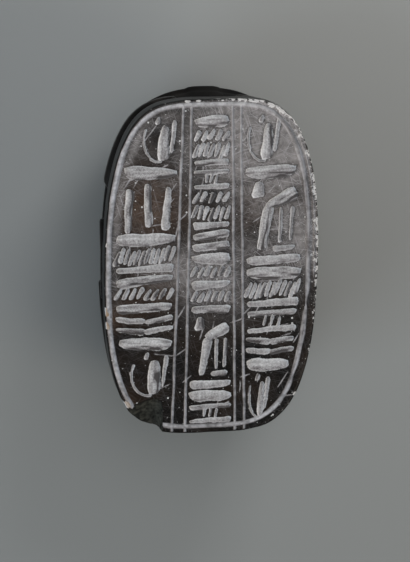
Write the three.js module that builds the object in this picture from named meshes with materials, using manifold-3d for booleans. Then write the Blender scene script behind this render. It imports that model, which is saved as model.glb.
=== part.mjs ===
// Carved steatite scarab: a beetle on an oval base, cut from one stone.
// It lies on its back with the inscribed face of the base up, the way it is laid down to be read.
// Millimetres, +Z up. The head is towards +Y. The origin is under the middle of the stone, at the floor.
import * as THREE from "three";
import { ConvexGeometry } from "three/addons/geometries/ConvexGeometry.js";
import { mergeVertices } from "three/addons/utils/BufferGeometryUtils.js";
import Module from "manifold-3d";

// Driving dimensions of the stone.
const LENGTH = 70; // length of the base
const WIDTH = 44.4; // across the base
const THICKNESS = 25; // flat of the back to the inscribed face
const PLATE = 5; // thickness of the base plate
const LEAN = 0.02; // the outline leans to +X by this share of Y
const END_POWER = 4.1; // a higher power gives flatter ends
const SIDE_POWER = 2.4; // a lower power gives rounder long sides
const EDGE_ROUND = 0.35; // the plate's edges are worn round by this much
const ROUND_STEPS = 92; // points around the outline

// The beetle, by height above the inscribed face.
const BEETLE_OFFSET = [-0.7, 0.3]; // the beetle sits a little off the middle of its base
const LEG_FLOOR = 2; // how far the flank stands in from the plate's edge
const LEG_START = 0.5; // the flank starts this far past the plate
const LEG_RADIUS = 1.95; // half the breadth of a leg
const LEG_CROWN = 0.3; // share of that half breadth that stands out in full
const LEG_RING_GAP = 0.78; // between the rings of points that carry the legs
const SHELL_EDGE = 13; // height of the edge of the wing cases
const SHELL_INSET = 1.4; // how far that edge stands in from the plate's edge
const SHELL_LIP = 0.4; // half the thickness of that edge
const SHELL_RISE = 12; // from that edge to the top of the back, before the flat
const SHELL_POWER = 0.8; // a lower power gives a fuller back
const SHELL_RINGS = 11;
const THORAX_Y = 8; // the thorax begins here and slopes down to the neck
const THORAX_BOW = 2; // how far its edge bows towards the tail
const NECK_Y = 21;
const NECK_RUN = 6; // length of the step down from the thorax to the head
const THORAX_SHARE = 0.72; // height of the back at the neck, as a share of its rise
const FRONT_SHARE = 0.12; // height beside the head
const HEAD_SHARE = 0.4; // height of the head
const HEAD_HALF = 8.5; // half the head's breadth at the neck
const HEAD_TAPER = 0.3; // loss of half breadth for each millimetre forward
const HEAD_FALL = [0.7, 1.1]; // the head falls off between these shares of its half breadth
const BROW_BULGE = 1.7; // the broad brow of the head stands out over the end of the base
const BROW_HALF = 7.6; // half the brow's breadth
const BROW_HEIGHT = 13; // height of the brow
const BROW_SPREAD = 2.4; // how soon it fades above and below
const KNOB_BULGE = 0.4; // the low knob in the middle of the brow
const KNOB_HALF = 2.7; // half the knob's breadth
const HOLLOW_HALF = [4.3, 2.6, 2.1]; // half sizes of the hollow under the head, between the forelegs
const HOLLOW_INSET = 0.6; // its middle stands in from the end of the base
const HOLLOW_HEIGHT = 7.4; // height of its middle
const ETCH_DEPTH = 0.5; // depth of the lines on the back
const ETCH_WIDTH = 0.9;
const ETCH_STEPS = 16; // straight stretches in the thorax's edge

// Each leg runs along the flank from its body end over the knee to the foot, each given as degrees from
// the head and height above the face. bulge is how far the leg stands out of the flank.
const LEGS = [
  { joints: [[50, 11.6], [36, 10], [12, 8.6]], bulge: 1.4 },
  { joints: [[70, 11.8], [84, 8.2], [108, 7.5]], bulge: 1.3 },
  { joints: [[104, 11.6], [126, 8.8], [160, 8.2]], bulge: 1.3 },
];
const FLANK_MM_PER_DEGREE = 0.5;

// The inscribed face.
const BORDER_HALF_WIDTH = 20.6;
const BORDER_HALF_LENGTH = 33.7;
const BORDER_OFFSET = [-0.7, 0.25]; // the border line isn't centred on the face
const BORDER_LINE = 1.1;
const BORDER_DEPTH = 0.45;
const BORDER_STEPS = 64;
const RULE_LINE = 0.55;
const RULE_DEPTH = 0.3;
const RULES = [
  { head: -5.8, tail: -8.4 },
  { head: -4.1, tail: -5.7 },
  { head: 4.2, tail: 4.9 },
  { head: 5.95, tail: 6.8 },
]; // X of each column line at the head end and at the tail end
const COLUMN_MARGIN = 0.6; // bare stone between a line and the strokes
const COLUMN_HEAD = 31.6; // the columns' first row starts at this Y
const ROW_GAP = 0.6;
const STROKE_DEPTH = 0.7;
const STROKE_TIP = 0.3; // a stroke's ends lie this share of its breadth towards its straight edge
const CUTTER_RISE = 0.2; // cutters stand this far out of the stone

// The broken corner at the tail, on the -X side.
const BREAK_CORNER = [-10.4, -26.6];
const BREAK_SLANT = 17; // degrees, its upper edge against X
const BREAK_SLOPE = 56; // degrees, its upper wall against the plate's edge
const BREAK_SIDE_SLOPE = 5; // degrees, its inner wall against the plate's edge
const BLOCK = 60; // side of the large blocks that trim the stone

const wasm = await Module();
wasm.setup();

const HALF_LENGTH = LENGTH / 2;
const HALF_WIDTH = WIDTH / 2;

// From 0 below low to 1 above high, with no kinks.
function smooth(low, high, value) {
  return THREE.MathUtils.smoothstep(value, low, high);
}

// A repeatable scatter between -1 and 1 for the hand-cut strokes.
function scatter(seed) {
  const wave = Math.sin(seed * 12.9898) * 43758.5453;
  return 2 * (wave - Math.floor(wave)) - 1;
}

// Distance from the middle to an oval outline in one direction, found by halving.
function reach(angle, halfWidth, halfLength) {
  const across = Math.abs(Math.cos(angle)) / halfWidth;
  const along = Math.abs(Math.sin(angle)) / halfLength;
  let near = 0;
  let far = halfWidth + halfLength;
  for (let step = 0; step < 40; step++) {
    const middle = (near + far) / 2;
    const inside = (middle * across) ** END_POWER + (middle * along) ** SIDE_POWER < 1;
    if (inside) near = middle;
    else far = middle;
  }
  return near;
}

// A point of the oval outline that stands in from the plate's edge by inset.
function outlinePoint(angle, inset) {
  const r = reach(angle, HALF_WIDTH - inset, HALF_LENGTH - inset);
  const y = r * Math.sin(angle);
  return [r * Math.cos(angle) + LEAN * y, y];
}

// How far the legs stand out of the flank at a height, by degrees from the head.
function legRelief(degrees, height) {
  const place = (turn, high) => new THREE.Vector3(turn * FLANK_MM_PER_DEGREE, high, 0);
  const here = place(degrees, height);
  const reliefs = LEGS.map(({ joints, bulge }) => {
    const [body, knee, foot] = joints.map(([turn, high]) => place(turn, high));
    const bones = [new THREE.Line3(body, knee), new THREE.Line3(knee, foot)];
    const nearest = bones.map((bone) => bone.closestPointToPoint(here, true, new THREE.Vector3()));
    const off = Math.min(...nearest.map((point) => point.distanceTo(here))) / LEG_RADIUS;
    return bulge * (1 - smooth(LEG_CROWN, 1, off));
  });
  return Math.max(...reliefs);
}

// How far the brow of the head stands out at a height, by degrees from the head.
function browRelief(degrees, height) {
  const off = degrees * FLANK_MM_PER_DEGREE;
  const brow = BROW_BULGE * Math.exp(-((off / BROW_HALF) ** 3));
  const knob = KNOB_BULGE * Math.exp(-((off / KNOB_HALF) ** 8));
  return (brow + knob) * Math.exp(-(((height - BROW_HEIGHT) / BROW_SPREAD) ** 2));
}

// Height of the back at a place, as a share of its rise: wing cases, thorax, then the lower head.
function backShare(x, y) {
  const thorax = 1 - (1 - THORAX_SHARE) * smooth(THORAX_Y, NECK_Y, y);
  const step = smooth(NECK_Y, NECK_Y + NECK_RUN, y);
  const body = thorax + (FRONT_SHARE - thorax) * step;
  const headHalf = HEAD_HALF - HEAD_TAPER * Math.max(0, y - NECK_Y);
  const head = HEAD_SHARE * step * (1 - smooth(...HEAD_FALL, Math.abs(x) / headHalf));
  return Math.max(body, head);
}

// The rings of the stone from the inscribed face to the back: inset, height above the face, and
// scale about the middle. Rings of the flank carry the legs, and rings of the shell carry the back.
function stoneRings() {
  const rings = [
    { inset: EDGE_ROUND, height: 0 },
    { inset: 0, height: EDGE_ROUND },
    { inset: 0, height: PLATE - EDGE_ROUND },
    { inset: EDGE_ROUND, height: PLATE },
  ];
  for (let height = PLATE + LEG_START; height < SHELL_EDGE - LEG_RING_GAP; height += LEG_RING_GAP) {
    rings.push({ inset: LEG_FLOOR, height, flank: true });
  }
  rings.push({ inset: LEG_FLOOR, height: SHELL_EDGE - SHELL_LIP, flank: true });
  rings.push({ inset: SHELL_INSET, height: SHELL_EDGE });
  for (let ring = 0; ring < SHELL_RINGS; ring++) {
    const climb = ((ring + 0.5) / SHELL_RINGS) * (Math.PI / 2);
    rings.push({ inset: SHELL_INSET, height: SHELL_EDGE + SHELL_LIP, scale: Math.cos(climb), climb });
  }
  return rings;
}

// One point of the stone's surface. shrink gives the same stone with that much taken off.
function stonePoint(ring, angle, shrink) {
  const degrees = Math.abs(THREE.MathUtils.radToDeg(Math.atan2(Math.cos(angle), Math.sin(angle))));
  const legs = ring.flank ? legRelief(degrees, ring.height) : 0;
  const brow = browRelief(degrees, ring.height);
  const [outX, outY] = outlinePoint(angle, ring.inset - legs - brow + shrink);
  const scale = ring.scale ?? 1;
  const [x, y] = [outX * scale, outY * scale];
  const rise = ring.climb ? SHELL_RISE * Math.sin(ring.climb) ** SHELL_POWER * backShare(x, y) : 0;
  const [shiftX, shiftY] = ring.height > PLATE ? BEETLE_OFFSET : [0, 0];
  const z = THICKNESS - ring.height - rise + (ring.climb ? shrink : 0);
  return new THREE.Vector3(x + shiftX, y + shiftY, z);
}

// A closed surface through a stack of rings of points, capped by a fan at each end.
function closedLoft(rings) {
  const count = rings[0].length;
  const points = rings.flat();
  const faces = [];
  for (let level = 0; level + 1 < rings.length; level++) {
    for (let i = 0; i < count; i++) {
      const next = (i + 1) % count;
      const [a, b] = [level * count + i, level * count + next];
      faces.push(a, a + count, b, b, a + count, b + count);
    }
  }
  const capMiddle = (ring) => ring.reduce((sum, p) => sum.add(p), new THREE.Vector3()).divideScalar(count);
  const last = (rings.length - 1) * count;
  const top = points.push(capMiddle(rings[0])) - 1;
  const bottom = points.push(capMiddle(rings.at(-1))) - 1;
  for (let i = 0; i < count; i++) {
    const next = (i + 1) % count;
    faces.push(top, i, next, bottom, last + next, last + i);
  }
  return new THREE.BufferGeometry().setFromPoints(points).setIndex(faces);
}

// A closed three.js geometry as a solid that can be joined and cut.
function toSolid(geometry) {
  const bare = geometry.clone();
  bare.deleteAttribute("normal");
  bare.deleteAttribute("uv");
  const merged = mergeVertices(bare, 1e-4);
  return new wasm.Manifold(
    new wasm.Mesh({
      numProp: 3,
      vertProperties: merged.attributes.position.array,
      triVerts: new Uint32Array(merged.index.array),
    }),
  );
}

// A joined and cut solid as a three.js geometry.
function toGeometry(solid) {
  const { vertProperties, triVerts } = solid.getMesh();
  const geometry = new THREE.BufferGeometry();
  geometry.setAttribute("position", new THREE.BufferAttribute(vertProperties, 3));
  geometry.setIndex(new THREE.BufferAttribute(triVerts, 1));
  geometry.computeVertexNormals();
  return geometry;
}

// The uncut stone: base plate, flank with its legs, and back.
function stone(shrink) {
  const rings = stoneRings().map((ring) => {
    const turn = (step) => (step / ROUND_STEPS) * 2 * Math.PI;
    return Array.from({ length: ROUND_STEPS }, (_, step) => stonePoint(ring, turn(step), shrink));
  });
  return toSolid(closedLoft(rings));
}

// A band drawn on the XY plane along a curve, as a block that stands from one Z to another.
function standingBand(curve, width, steps, low, high) {
  const sides = [-1, 1].map((side) =>
    Array.from({ length: steps + 1 }, (_, i) => {
      const at = curve.getPoint(i / steps);
      const along = curve.getTangent(i / steps);
      return new THREE.Vector2(at.x - along.y * side * (width / 2), at.y + along.x * side * (width / 2));
    }),
  );
  const shape = new THREE.Shape([...sides[0], ...sides[1].reverse()]);
  const block = new THREE.ExtrudeGeometry(shape, { depth: high - low, bevelEnabled: false });
  return toSolid(block.translate(0, 0, low));
}

// The lines on the back: the seam of the wing cases and the edge of the thorax.
function backLines() {
  const [middle, edgeY] = [BEETLE_OFFSET[0], THORAX_Y + BEETLE_OFFSET[1]];
  const thoraxEdge = new THREE.QuadraticBezierCurve(
    new THREE.Vector2(middle - HALF_WIDTH, edgeY + THORAX_BOW),
    new THREE.Vector2(middle, edgeY - THORAX_BOW),
    new THREE.Vector2(middle + HALF_WIDTH, edgeY + THORAX_BOW),
  );
  const seam = new THREE.LineCurve(
    new THREE.Vector2(middle, edgeY),
    new THREE.Vector2(middle, -HALF_LENGTH),
  );
  const top = THICKNESS - SHELL_EDGE - SHELL_LIP;
  const seamBlock = standingBand(seam, ETCH_WIDTH, 1, -1, top);
  const thoraxBlock = standingBand(thoraxEdge, ETCH_WIDTH, ETCH_STEPS, -1, top);
  return seamBlock.add(thoraxBlock).subtract(stone(ETCH_DEPTH));
}

// The hollow under the head, between the forelegs.
function headHollow() {
  const hollow = new THREE.SphereGeometry(1, 16, 10);
  hollow.scale(...HOLLOW_HALF);
  return toSolid(hollow.translate(0, HALF_LENGTH - HOLLOW_INSET, THICKNESS - HOLLOW_HEIGHT));
}

// The corner that has broken away: the space below two sloping walls that meet at the corner.
function brokenCorner() {
  const wall = (turn, tilt, faceX, faceY) => {
    const block = new THREE.BoxGeometry(BLOCK, BLOCK, BLOCK);
    block.translate(faceX * (BLOCK / 2), faceY * (BLOCK / 2), 0);
    block.rotateX(THREE.MathUtils.degToRad(tilt.x));
    block.rotateY(THREE.MathUtils.degToRad(tilt.y));
    block.rotateZ(THREE.MathUtils.degToRad(turn));
    return toSolid(block.translate(BREAK_CORNER[0], BREAK_CORNER[1], THICKNESS));
  };
  const upper = wall(BREAK_SLANT, { x: -BREAK_SLOPE, y: 0 }, 0, -1);
  const inner = wall(0, { x: 0, y: BREAK_SIDE_SLOPE }, -1, 0);
  return upper.intersect(inner);
}

// X of a column line at a Y.
function ruleX(rule, y) {
  return THREE.MathUtils.mapLinear(y, HALF_LENGTH, -HALF_LENGTH, rule.head, rule.tail);
}

// X of the border line's inner edge at a Y, on the side -1 or 1.
function borderX(side, y) {
  const along = Math.min(1, Math.abs(y - BORDER_OFFSET[1]) / BORDER_HALF_LENGTH);
  const half = BORDER_HALF_WIDTH * (1 - along ** SIDE_POWER) ** (1 / END_POWER);
  return BORDER_OFFSET[0] + LEAN * y + side * (half - BORDER_LINE / 2);
}

// The border groove and the column lines.
function ruledLines() {
  const loop = (grow) =>
    Array.from({ length: BORDER_STEPS }, (_, step) => {
      const angle = (step / BORDER_STEPS) * 2 * Math.PI;
      const r = reach(angle, BORDER_HALF_WIDTH + grow, BORDER_HALF_LENGTH + grow);
      const y = r * Math.sin(angle) + BORDER_OFFSET[1];
      return new THREE.Vector2(r * Math.cos(angle) + BORDER_OFFSET[0] + LEAN * y, y);
    });
  const band = new THREE.Shape(loop(BORDER_LINE / 2));
  band.holes.push(new THREE.Path(loop(-BORDER_LINE / 2)));
  const border = new THREE.ExtrudeGeometry(band, { depth: BORDER_DEPTH + CUTTER_RISE, bevelEnabled: false });
  const columns = RULES.map((rule) => {
    const line = new THREE.LineCurve(
      new THREE.Vector2(ruleX(rule, BORDER_HALF_LENGTH), BORDER_HALF_LENGTH),
      new THREE.Vector2(ruleX(rule, -LENGTH), -LENGTH),
    );
    return standingBand(line, RULE_LINE, 1, THICKNESS - RULE_DEPTH, THICKNESS + CUTTER_RISE);
  });
  return wasm.Manifold.union([toSolid(border.translate(0, 0, THICKNESS - BORDER_DEPTH)), ...columns]);
}

// A stroke of the inscription: its middle, direction in degrees, length and breadth.
// fullness is the share of its length that keeps the full breadth, so 0.9 is a bar and 0.3 a leaf.
function stroke(x, y, degrees, length, breadth, fullness) {
  return { x, y, degrees, length, breadth, fullness };
}

// Strokes in a row across a box, each turned to the same direction.
function strokeRow(box, count, degrees, length, breadth, fullness) {
  return Array.from({ length: count }, (_, i) => {
    const x = box.left + ((i + 0.5) / count) * box.width;
    const turn = degrees + 5 * scatter(box.seed + i);
    return stroke(x, box.y + 0.1 * box.height * scatter(box.seed + i + 50), turn, length, breadth, fullness);
  });
}

// A thin curved stroke made of short ones, around a middle, between two directions.
function strokeArc(x, y, radiusX, radiusY, start, end, breadth) {
  const count = 6;
  const place = (share) => {
    const angle = THREE.MathUtils.degToRad(start + (end - start) * share);
    return new THREE.Vector2(x + radiusX * Math.cos(angle), y + radiusY * Math.sin(angle));
  };
  return Array.from({ length: count }, (_, i) => {
    const [a, b] = [place(i / count), place((i + 1) / count)];
    const turn = THREE.MathUtils.radToDeg(Math.atan2(b.y - a.y, b.x - a.x));
    return stroke((a.x + b.x) / 2, (a.y + b.y) / 2, turn, 1.25 * a.distanceTo(b), breadth, 0.8);
  });
}

// The rows of the inscription. Each kind fills its box with plain strokes that spell nothing.
const ROW_KINDS = {
  bar: {
    height: 1.7,
    draw: (b) => [stroke(b.x, b.y, 3 + 3 * scatter(b.seed), 0.95 * b.width, 0.96 * b.height, 0.72)],
  },
  leaf: {
    height: 2.2,
    draw: (b) => [stroke(b.x, b.y, 3 * scatter(b.seed), 0.97 * b.width, 1.05 * b.height, 0.4)],
  },
  ticks: { height: 2.3, draw: (b) => strokeRow(b, Math.round(b.width / 1.5), 62, 1.05 * b.height, 0.9, 0.5) },
  comb: {
    height: 4.6,
    draw: (b) => [
      ...strokeRow(
        { ...b, y: b.y + 0.2 * b.height }, Math.round(b.width / 1.05), 70, 0.66 * b.height, 0.8, 0.6,
      ),
      stroke(b.x, b.y - 0.34 * b.height, 2, 0.95 * b.width, 0.28 * b.height, 0.9),
    ],
  },
  rungs: {
    height: 4.2,
    draw: (b) => [
      stroke(b.x, b.y + 0.36 * b.height, 2, 0.95 * b.width, 0.24 * b.height, 0.85),
      ...strokeRow({ ...b, left: b.x - 0.2 * b.width, width: 0.4 * b.width }, 3, 80, b.height / 2, 0.6, 0.6),
      stroke(b.x, b.y - 0.36 * b.height, 2, 0.95 * b.width, 0.24 * b.height, 0.85),
    ],
  },
  posts: { height: 9, draw: (b) => strokeRow(b, 3, 87, 0.9 * b.height, 1.55, 0.75) },
  bends: {
    height: 3.8,
    draw: (b) =>
      [0.25, -0.25].flatMap((level) => [
        stroke(b.x - 0.25 * b.width, b.y + level * b.height, -6, 0.52 * b.width, 0.28 * b.height, 0.7),
        stroke(b.x + 0.25 * b.width, b.y + level * b.height, 9, 0.52 * b.width, 0.26 * b.height, 0.7),
      ]),
  },
  sweep: {
    height: 8.6,
    draw: (b) => [
      ...strokeArc(b.x - 0.02 * b.width, b.y, 0.38 * b.width, 0.46 * b.height, 150, 280, 0.5),
      stroke(b.x + 0.12 * b.width, b.y - 0.05 * b.height, 86, 0.75 * b.height, 0.28 * b.width, 0.5),
      stroke(b.x + 0.36 * b.width, b.y + 0.08 * b.height, 83, 0.7 * b.height, 0.8, 0.7),
      stroke(b.x - 0.04 * b.width, b.y + 0.42 * b.height, 70, 1.6, 0.9, 0.3),
    ],
  },
  stilts: {
    height: 13,
    draw: (b) => [
      stroke(b.x - 0.26 * b.width, b.y + 0.38 * b.height, 84, 0.22 * b.height, 0.2 * b.width, 0.6),
      stroke(b.x + 0.16 * b.width, b.y + 0.24 * b.height, 27, 0.6 * b.width, 0.17 * b.height, 0.5),
      stroke(b.x - 0.14 * b.width, b.y - 0.16 * b.height, 80, 0.62 * b.height, 0.19 * b.width, 0.75),
      stroke(b.x + 0.14 * b.width, b.y - 0.12 * b.height, 88, 0.5 * b.height, 0.7, 0.8),
      stroke(b.x + 0.34 * b.width, b.y - 0.1 * b.height, 86, 0.48 * b.height, 0.7, 0.8),
      stroke(b.x + 0.2 * b.width, b.y - 0.44 * b.height, 3, 0.4 * b.width, 1.1, 0.7),
    ],
  },
};

// The rows of each column from the head end, the columns' tail ends, and the edges they keep to.
const COLUMNS = [
  {
    rows: ["sweep", "leaf", "posts", "leaf", "comb", "bar", "ticks", "bar", "bends", "leaf", "sweep"],
    tail: -27,
    left: (y) => borderX(-1, y),
    right: (y) => ruleX(RULES[0], y),
  },
  {
    rows: ["leaf", "ticks", "comb", "rungs", "ticks", "comb", "bar", "bar", "leaf", "ticks", "bar", "ticks",
      "bar", "stilts", "bar", "leaf", "rungs"],
    tail: -33,
    left: (y) => ruleX(RULES[1], y),
    right: (y) => ruleX(RULES[2], y),
  },
  {
    rows: ["sweep", "leaf", "stilts", "bar", "leaf", "comb", "rungs", "bends", "leaf", "sweep"],
    tail: -32.6,
    left: (y) => ruleX(RULES[3], y),
    right: (y) => borderX(1, y),
  },
];

// All strokes of a column, its rows spread to fill it from the head end to the tail end.
function columnStrokes({ rows, tail, left, right }, columnNumber) {
  const wanted = rows.reduce((sum, kind) => sum + ROW_KINDS[kind].height, 0);
  const room = COLUMN_HEAD - tail - ROW_GAP * (rows.length - 1);
  const stretch = room / wanted;
  let top = COLUMN_HEAD;
  return rows.flatMap((kind, rowNumber) => {
    const height = ROW_KINDS[kind].height * stretch;
    const ends = [top - 0.3 * height, top - 0.7 * height];
    const from = Math.max(...ends.map(left)) + COLUMN_MARGIN;
    const to = Math.min(...ends.map(right)) - COLUMN_MARGIN;
    const box = { left: from, width: to - from, x: (from + to) / 2, y: top - height / 2, height };
    top -= height + ROW_GAP;
    return ROW_KINDS[kind].draw({ ...box, seed: 100 * columnNumber + 7 * rowNumber + 1 });
  });
}

// The tool that cuts one stroke: a six-sided outline, straighter on one long edge, that slopes down to a
// short floor nearer that edge.
function strokeCutter({ x, y, degrees, length, breadth, fullness }) {
  const outline = [-1, 1].flatMap((end) => [
    [end * (length / 2), STROKE_TIP * breadth],
    [end * fullness * (length / 2), breadth / 2],
    [end * fullness * (length / 2), -breadth / 2],
  ]);
  const floor = [-1, 1].map((end) => [end * fullness * 0.8 * (length / 2), STROKE_TIP * breadth]);
  const level = (points, z) => points.map(([u, v]) => new THREE.Vector3(u, v, z));
  const cutter = new ConvexGeometry([
    ...level(outline, CUTTER_RISE),
    ...level(outline, 0),
    ...level(floor, -STROKE_DEPTH),
  ]);
  return toSolid(cutter.rotateZ(THREE.MathUtils.degToRad(degrees)).translate(x, y, THICKNESS));
}

// The carved stone.
function scarab() {
  const belowFloor = new THREE.BoxGeometry(2 * BLOCK, 2 * BLOCK, BLOCK).translate(0, 0, -BLOCK / 2);
  const strokes = COLUMNS.flatMap(columnStrokes).map(strokeCutter);
  const carved = stone(0)
    .subtract(backLines())
    .subtract(headHollow())
    .subtract(ruledLines())
    .subtract(wasm.Manifold.union(strokes))
    .subtract(brokenCorner())
    .subtract(toSolid(belowFloor));
  const { min, max } = carved.boundingBox();
  const centred = carved.translate([-(min[0] + max[0]) / 2, -(min[1] + max[1]) / 2, 0]);
  const blackSteatite = new THREE.MeshStandardMaterial({ color: 0x2b2826, roughness: 0.45, metalness: 0 });
  const mesh = new THREE.Mesh(toGeometry(centred), blackSteatite);
  mesh.name = "scarab";
  return mesh;
}

const part = new THREE.Group();
part.add(scarab());

export default part;
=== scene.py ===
"""Carved steatite scarab: one stone lying on its domed back, the inscribed face up, on a plain floor."""

import logging
import math
from collections.abc import Callable
from dataclasses import dataclass, field
from enum import Enum
from functools import partial
from typing import ClassVar

import bpy
import numpy as np
from mathutils import Matrix, Vector


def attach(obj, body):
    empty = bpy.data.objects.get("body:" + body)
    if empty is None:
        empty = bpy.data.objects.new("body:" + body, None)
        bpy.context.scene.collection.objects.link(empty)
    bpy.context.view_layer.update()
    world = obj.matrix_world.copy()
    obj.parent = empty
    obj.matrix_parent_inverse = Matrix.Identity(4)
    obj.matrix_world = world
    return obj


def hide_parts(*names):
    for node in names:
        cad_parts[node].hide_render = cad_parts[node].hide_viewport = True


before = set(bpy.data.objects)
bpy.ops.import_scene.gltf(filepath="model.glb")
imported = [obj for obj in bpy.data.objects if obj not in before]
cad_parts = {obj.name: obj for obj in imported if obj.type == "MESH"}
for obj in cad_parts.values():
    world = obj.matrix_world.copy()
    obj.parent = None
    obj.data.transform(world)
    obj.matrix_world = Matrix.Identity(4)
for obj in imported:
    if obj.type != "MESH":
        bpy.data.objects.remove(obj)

LOG = logging.getLogger("scarab")
MM = 0.001

# Driving sizes of the stone, in mm: half the base's width and length, and the height of the inscribed face.
HALF_WIDTH = 22.2
HALF_LENGTH = 35.0
FACE_HEIGHT = 25.0

# Inputs of a Mix node: the share, and the two colours.
SHARE, FIRST, SECOND = 0, 6, 7

# Large odd numbers make the repeatable scatter look random. Each use of it has seeds of its own.
HASH_SEED = 12.9898
HASH_CELLS = (127.1, 311.7, 74.7)
HASH_SPREAD = 43758.5453

# Steps and limits of the outline's formulas.
HALVINGS = 40
LEAST_SLOPE = 0.02

# Marks of cuts and lines are the distance inside in mm, raised so that the finish can roughen both sides.
MARK_EDGE = 0.5
MARK_MOST = 1.5

# A curved stroke is made of short ones that overlap.
ARC_STEPS = 6
ARC_OVERLAP = 1.25
ARC_FULLNESS = 0.8

Array = np.ndarray
Point = tuple[float, float]
Spot = tuple[float, float, float, float]


def smooth(low: float, high: float, value: Array | float) -> Array | float:
    """Ease from 0 at low to 1 at high, with no kinks.

    Args:
        low: Value that gives 0.
        high: Value that gives 1.
        value: Value or values to ease.

    Returns:
        The eased share, between 0 and 1.
    """
    share = np.clip((value - low) / (high - low), 0.0, 1.0)
    return share * share * (3.0 - 2.0 * share)


def scatter(seed: float) -> float:
    """Give a repeatable scatter between -1 and 1.

    Args:
        seed: Number that picks the value.

    Returns:
        The scatter.
    """
    wave = math.sin(seed * HASH_SEED) * HASH_SPREAD
    return 2.0 * (wave - math.floor(wave)) - 1.0


def grain(x: Array, y: Array, size_x: float, size_y: float, seed: float) -> Array:
    """Give smooth repeatable noise between 0 and 1 over a plane.

    Args:
        x: First coordinate, in mm.
        y: Second coordinate, in mm.
        size_x: Size of a blotch along x, in mm.
        size_y: Size of a blotch along y, in mm.
        seed: Number that picks the pattern.

    Returns:
        The noise at each point.
    """
    cell_x, cell_y = np.floor(x / size_x), np.floor(y / size_y)
    share_x, share_y = smooth(0, 1, x / size_x - cell_x), smooth(0, 1, y / size_y - cell_y)
    hash_x, hash_y, hash_seed = HASH_CELLS
    total = np.zeros(np.shape(x))
    for step_x in (0, 1):
        for step_y in (0, 1):
            phase = (cell_x + step_x) * hash_x + (cell_y + step_y) * hash_y + seed * hash_seed
            wave = np.sin(phase) * HASH_SPREAD
            weight_x = share_x if step_x else 1 - share_x
            weight_y = share_y if step_y else 1 - share_y
            total += weight_x * weight_y * (wave - np.floor(wave))
    return total


def ripple(x: Array, size: float, seed: float) -> Array:
    """Give smooth repeatable noise between -0.5 and 0.5 along a line.

    Args:
        x: Place along the line, in mm.
        size: Length of a ripple, in mm.
        seed: Number that picks the pattern.

    Returns:
        The noise at each place.
    """
    return grain(x, 0 * x, size, 1.0, seed) - 0.5


def lumpy(x: Array, y: Array, lumps: tuple[float, float, float], seed: float) -> Array:
    """Give the lumps of a broken wall.

    Args:
        x: First coordinate, in mm.
        y: Second coordinate, in mm.
        lumps: Height of the lumps, and their size along x and y, in mm.
        seed: Number that picks the pattern.

    Returns:
        The height at each point, in mm, around 0.
    """
    height, size_x, size_y = lumps
    return height * (grain(x, y, size_x, size_y, seed) - 0.5)


def groove(inside: Array, wall: float) -> Array:
    """Give the section of a cut with a rounded wall.

    Args:
        inside: Distance inside the cut, in mm.
        wall: Breadth of the wall, in mm.

    Returns:
        The depth, as a share of the full depth.
    """
    return 1 - (1 - np.clip(inside / wall, 0, 1)) ** 2


def linear(code: str) -> tuple[float, float, float, float]:
    """Turn an sRGB hex colour into linear light.

    Args:
        code: Six hex digits.

    Returns:
        Red, green, blue and alpha.
    """
    shares = [int(code[i:i + 2], 16) / 255 for i in (0, 2, 4)]
    light = [s / 12.92 if s <= 0.04045 else ((s + 0.055) / 1.055) ** 2.4 for s in shares]
    return (*light, 1.0)


def add_node(
    tree: bpy.types.NodeTree, kind: str, inputs: dict | None = None, **settings: object
) -> bpy.types.Node:
    """Add a node with its settings and links.

    Args:
        tree: Node tree that takes the node.
        kind: Blender's name of the node type.
        inputs: Value, socket or node for each input, by name or number. A node gives its first output in use.
        settings: Properties of the node.

    Returns:
        The new node.
    """
    made = tree.nodes.new(kind)
    for name, value in settings.items():
        setattr(made, name, value)
    for key, value in (inputs or {}).items():
        if isinstance(value, bpy.types.Node):
            value = next(output for output in value.outputs if output.enabled)
        if isinstance(value, bpy.types.NodeSocket):
            tree.links.new(value, made.inputs[key])
        else:
            made.inputs[key].default_value = value
    return made


class Mark(Enum):
    """The point attributes that the stone's finish reads."""

    FACE = "face"
    CUT = "cut"
    LINE = "line"
    STREAK = "streak"
    # This mark holds real wear, and also painted sheen on the face and a painted highlight on the ridges of
    # the legs.
    WEAR_AND_SHEEN = "wear"
    WARM = "warm"
    CHIP = "chip"
    EDGE = "edge"
    BROKEN = "broken"


class Row(Enum):
    """The kinds of row in the inscription, each with its height in mm. None of them is a letter."""

    BAR = 1.7
    LEAF = 2.2
    TICKS = 2.3
    COMB = 4.6
    RUNGS = 4.2
    POSTS = 9.0
    BENDS = 3.8
    SWEEP = 8.6
    STILTS = 13.0


def write_points(mesh: bpy.types.Mesh, points: Array) -> None:
    """Move a mesh's vertices to points in mm.

    Args:
        mesh: Mesh to change.
        points: One row of x, y and z for each vertex.
    """
    mesh.vertices.foreach_set("co", (points * MM).astype(np.float32).ravel())
    mesh.update()


def read_points(mesh: bpy.types.Mesh) -> Array:
    """Read a mesh's vertices as they stand.

    Args:
        mesh: Mesh to read.

    Returns:
        One row of x, y and z for each vertex, in the mesh's own units.
    """
    points = np.empty(len(mesh.vertices) * 3, dtype=np.float32)
    mesh.vertices.foreach_get("co", points)
    return points.reshape(-1, 3).astype(float)


def write_marks(mesh: bpy.types.Mesh, marks: dict[Mark, Array | float]) -> None:
    """Store the attributes that the finish reads, 0 where none is given.

    Args:
        mesh: Mesh that takes the attributes.
        marks: Value at each vertex, or one value for all.
    """
    for mark in Mark:
        values = np.broadcast_to(marks.get(mark, 0.0), len(mesh.vertices)).astype(np.float32)
        layer = mesh.attributes.new(mark.value, "FLOAT", "POINT")
        layer.data.foreach_set("value", np.ascontiguousarray(values))


def pick(piece: bpy.types.Object) -> None:
    """Make a piece the only selected and the active one.

    Args:
        piece: Piece to pick.
    """
    bpy.ops.object.select_all(action="DESELECT")
    piece.select_set(True)
    bpy.context.view_layer.objects.active = piece


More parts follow.
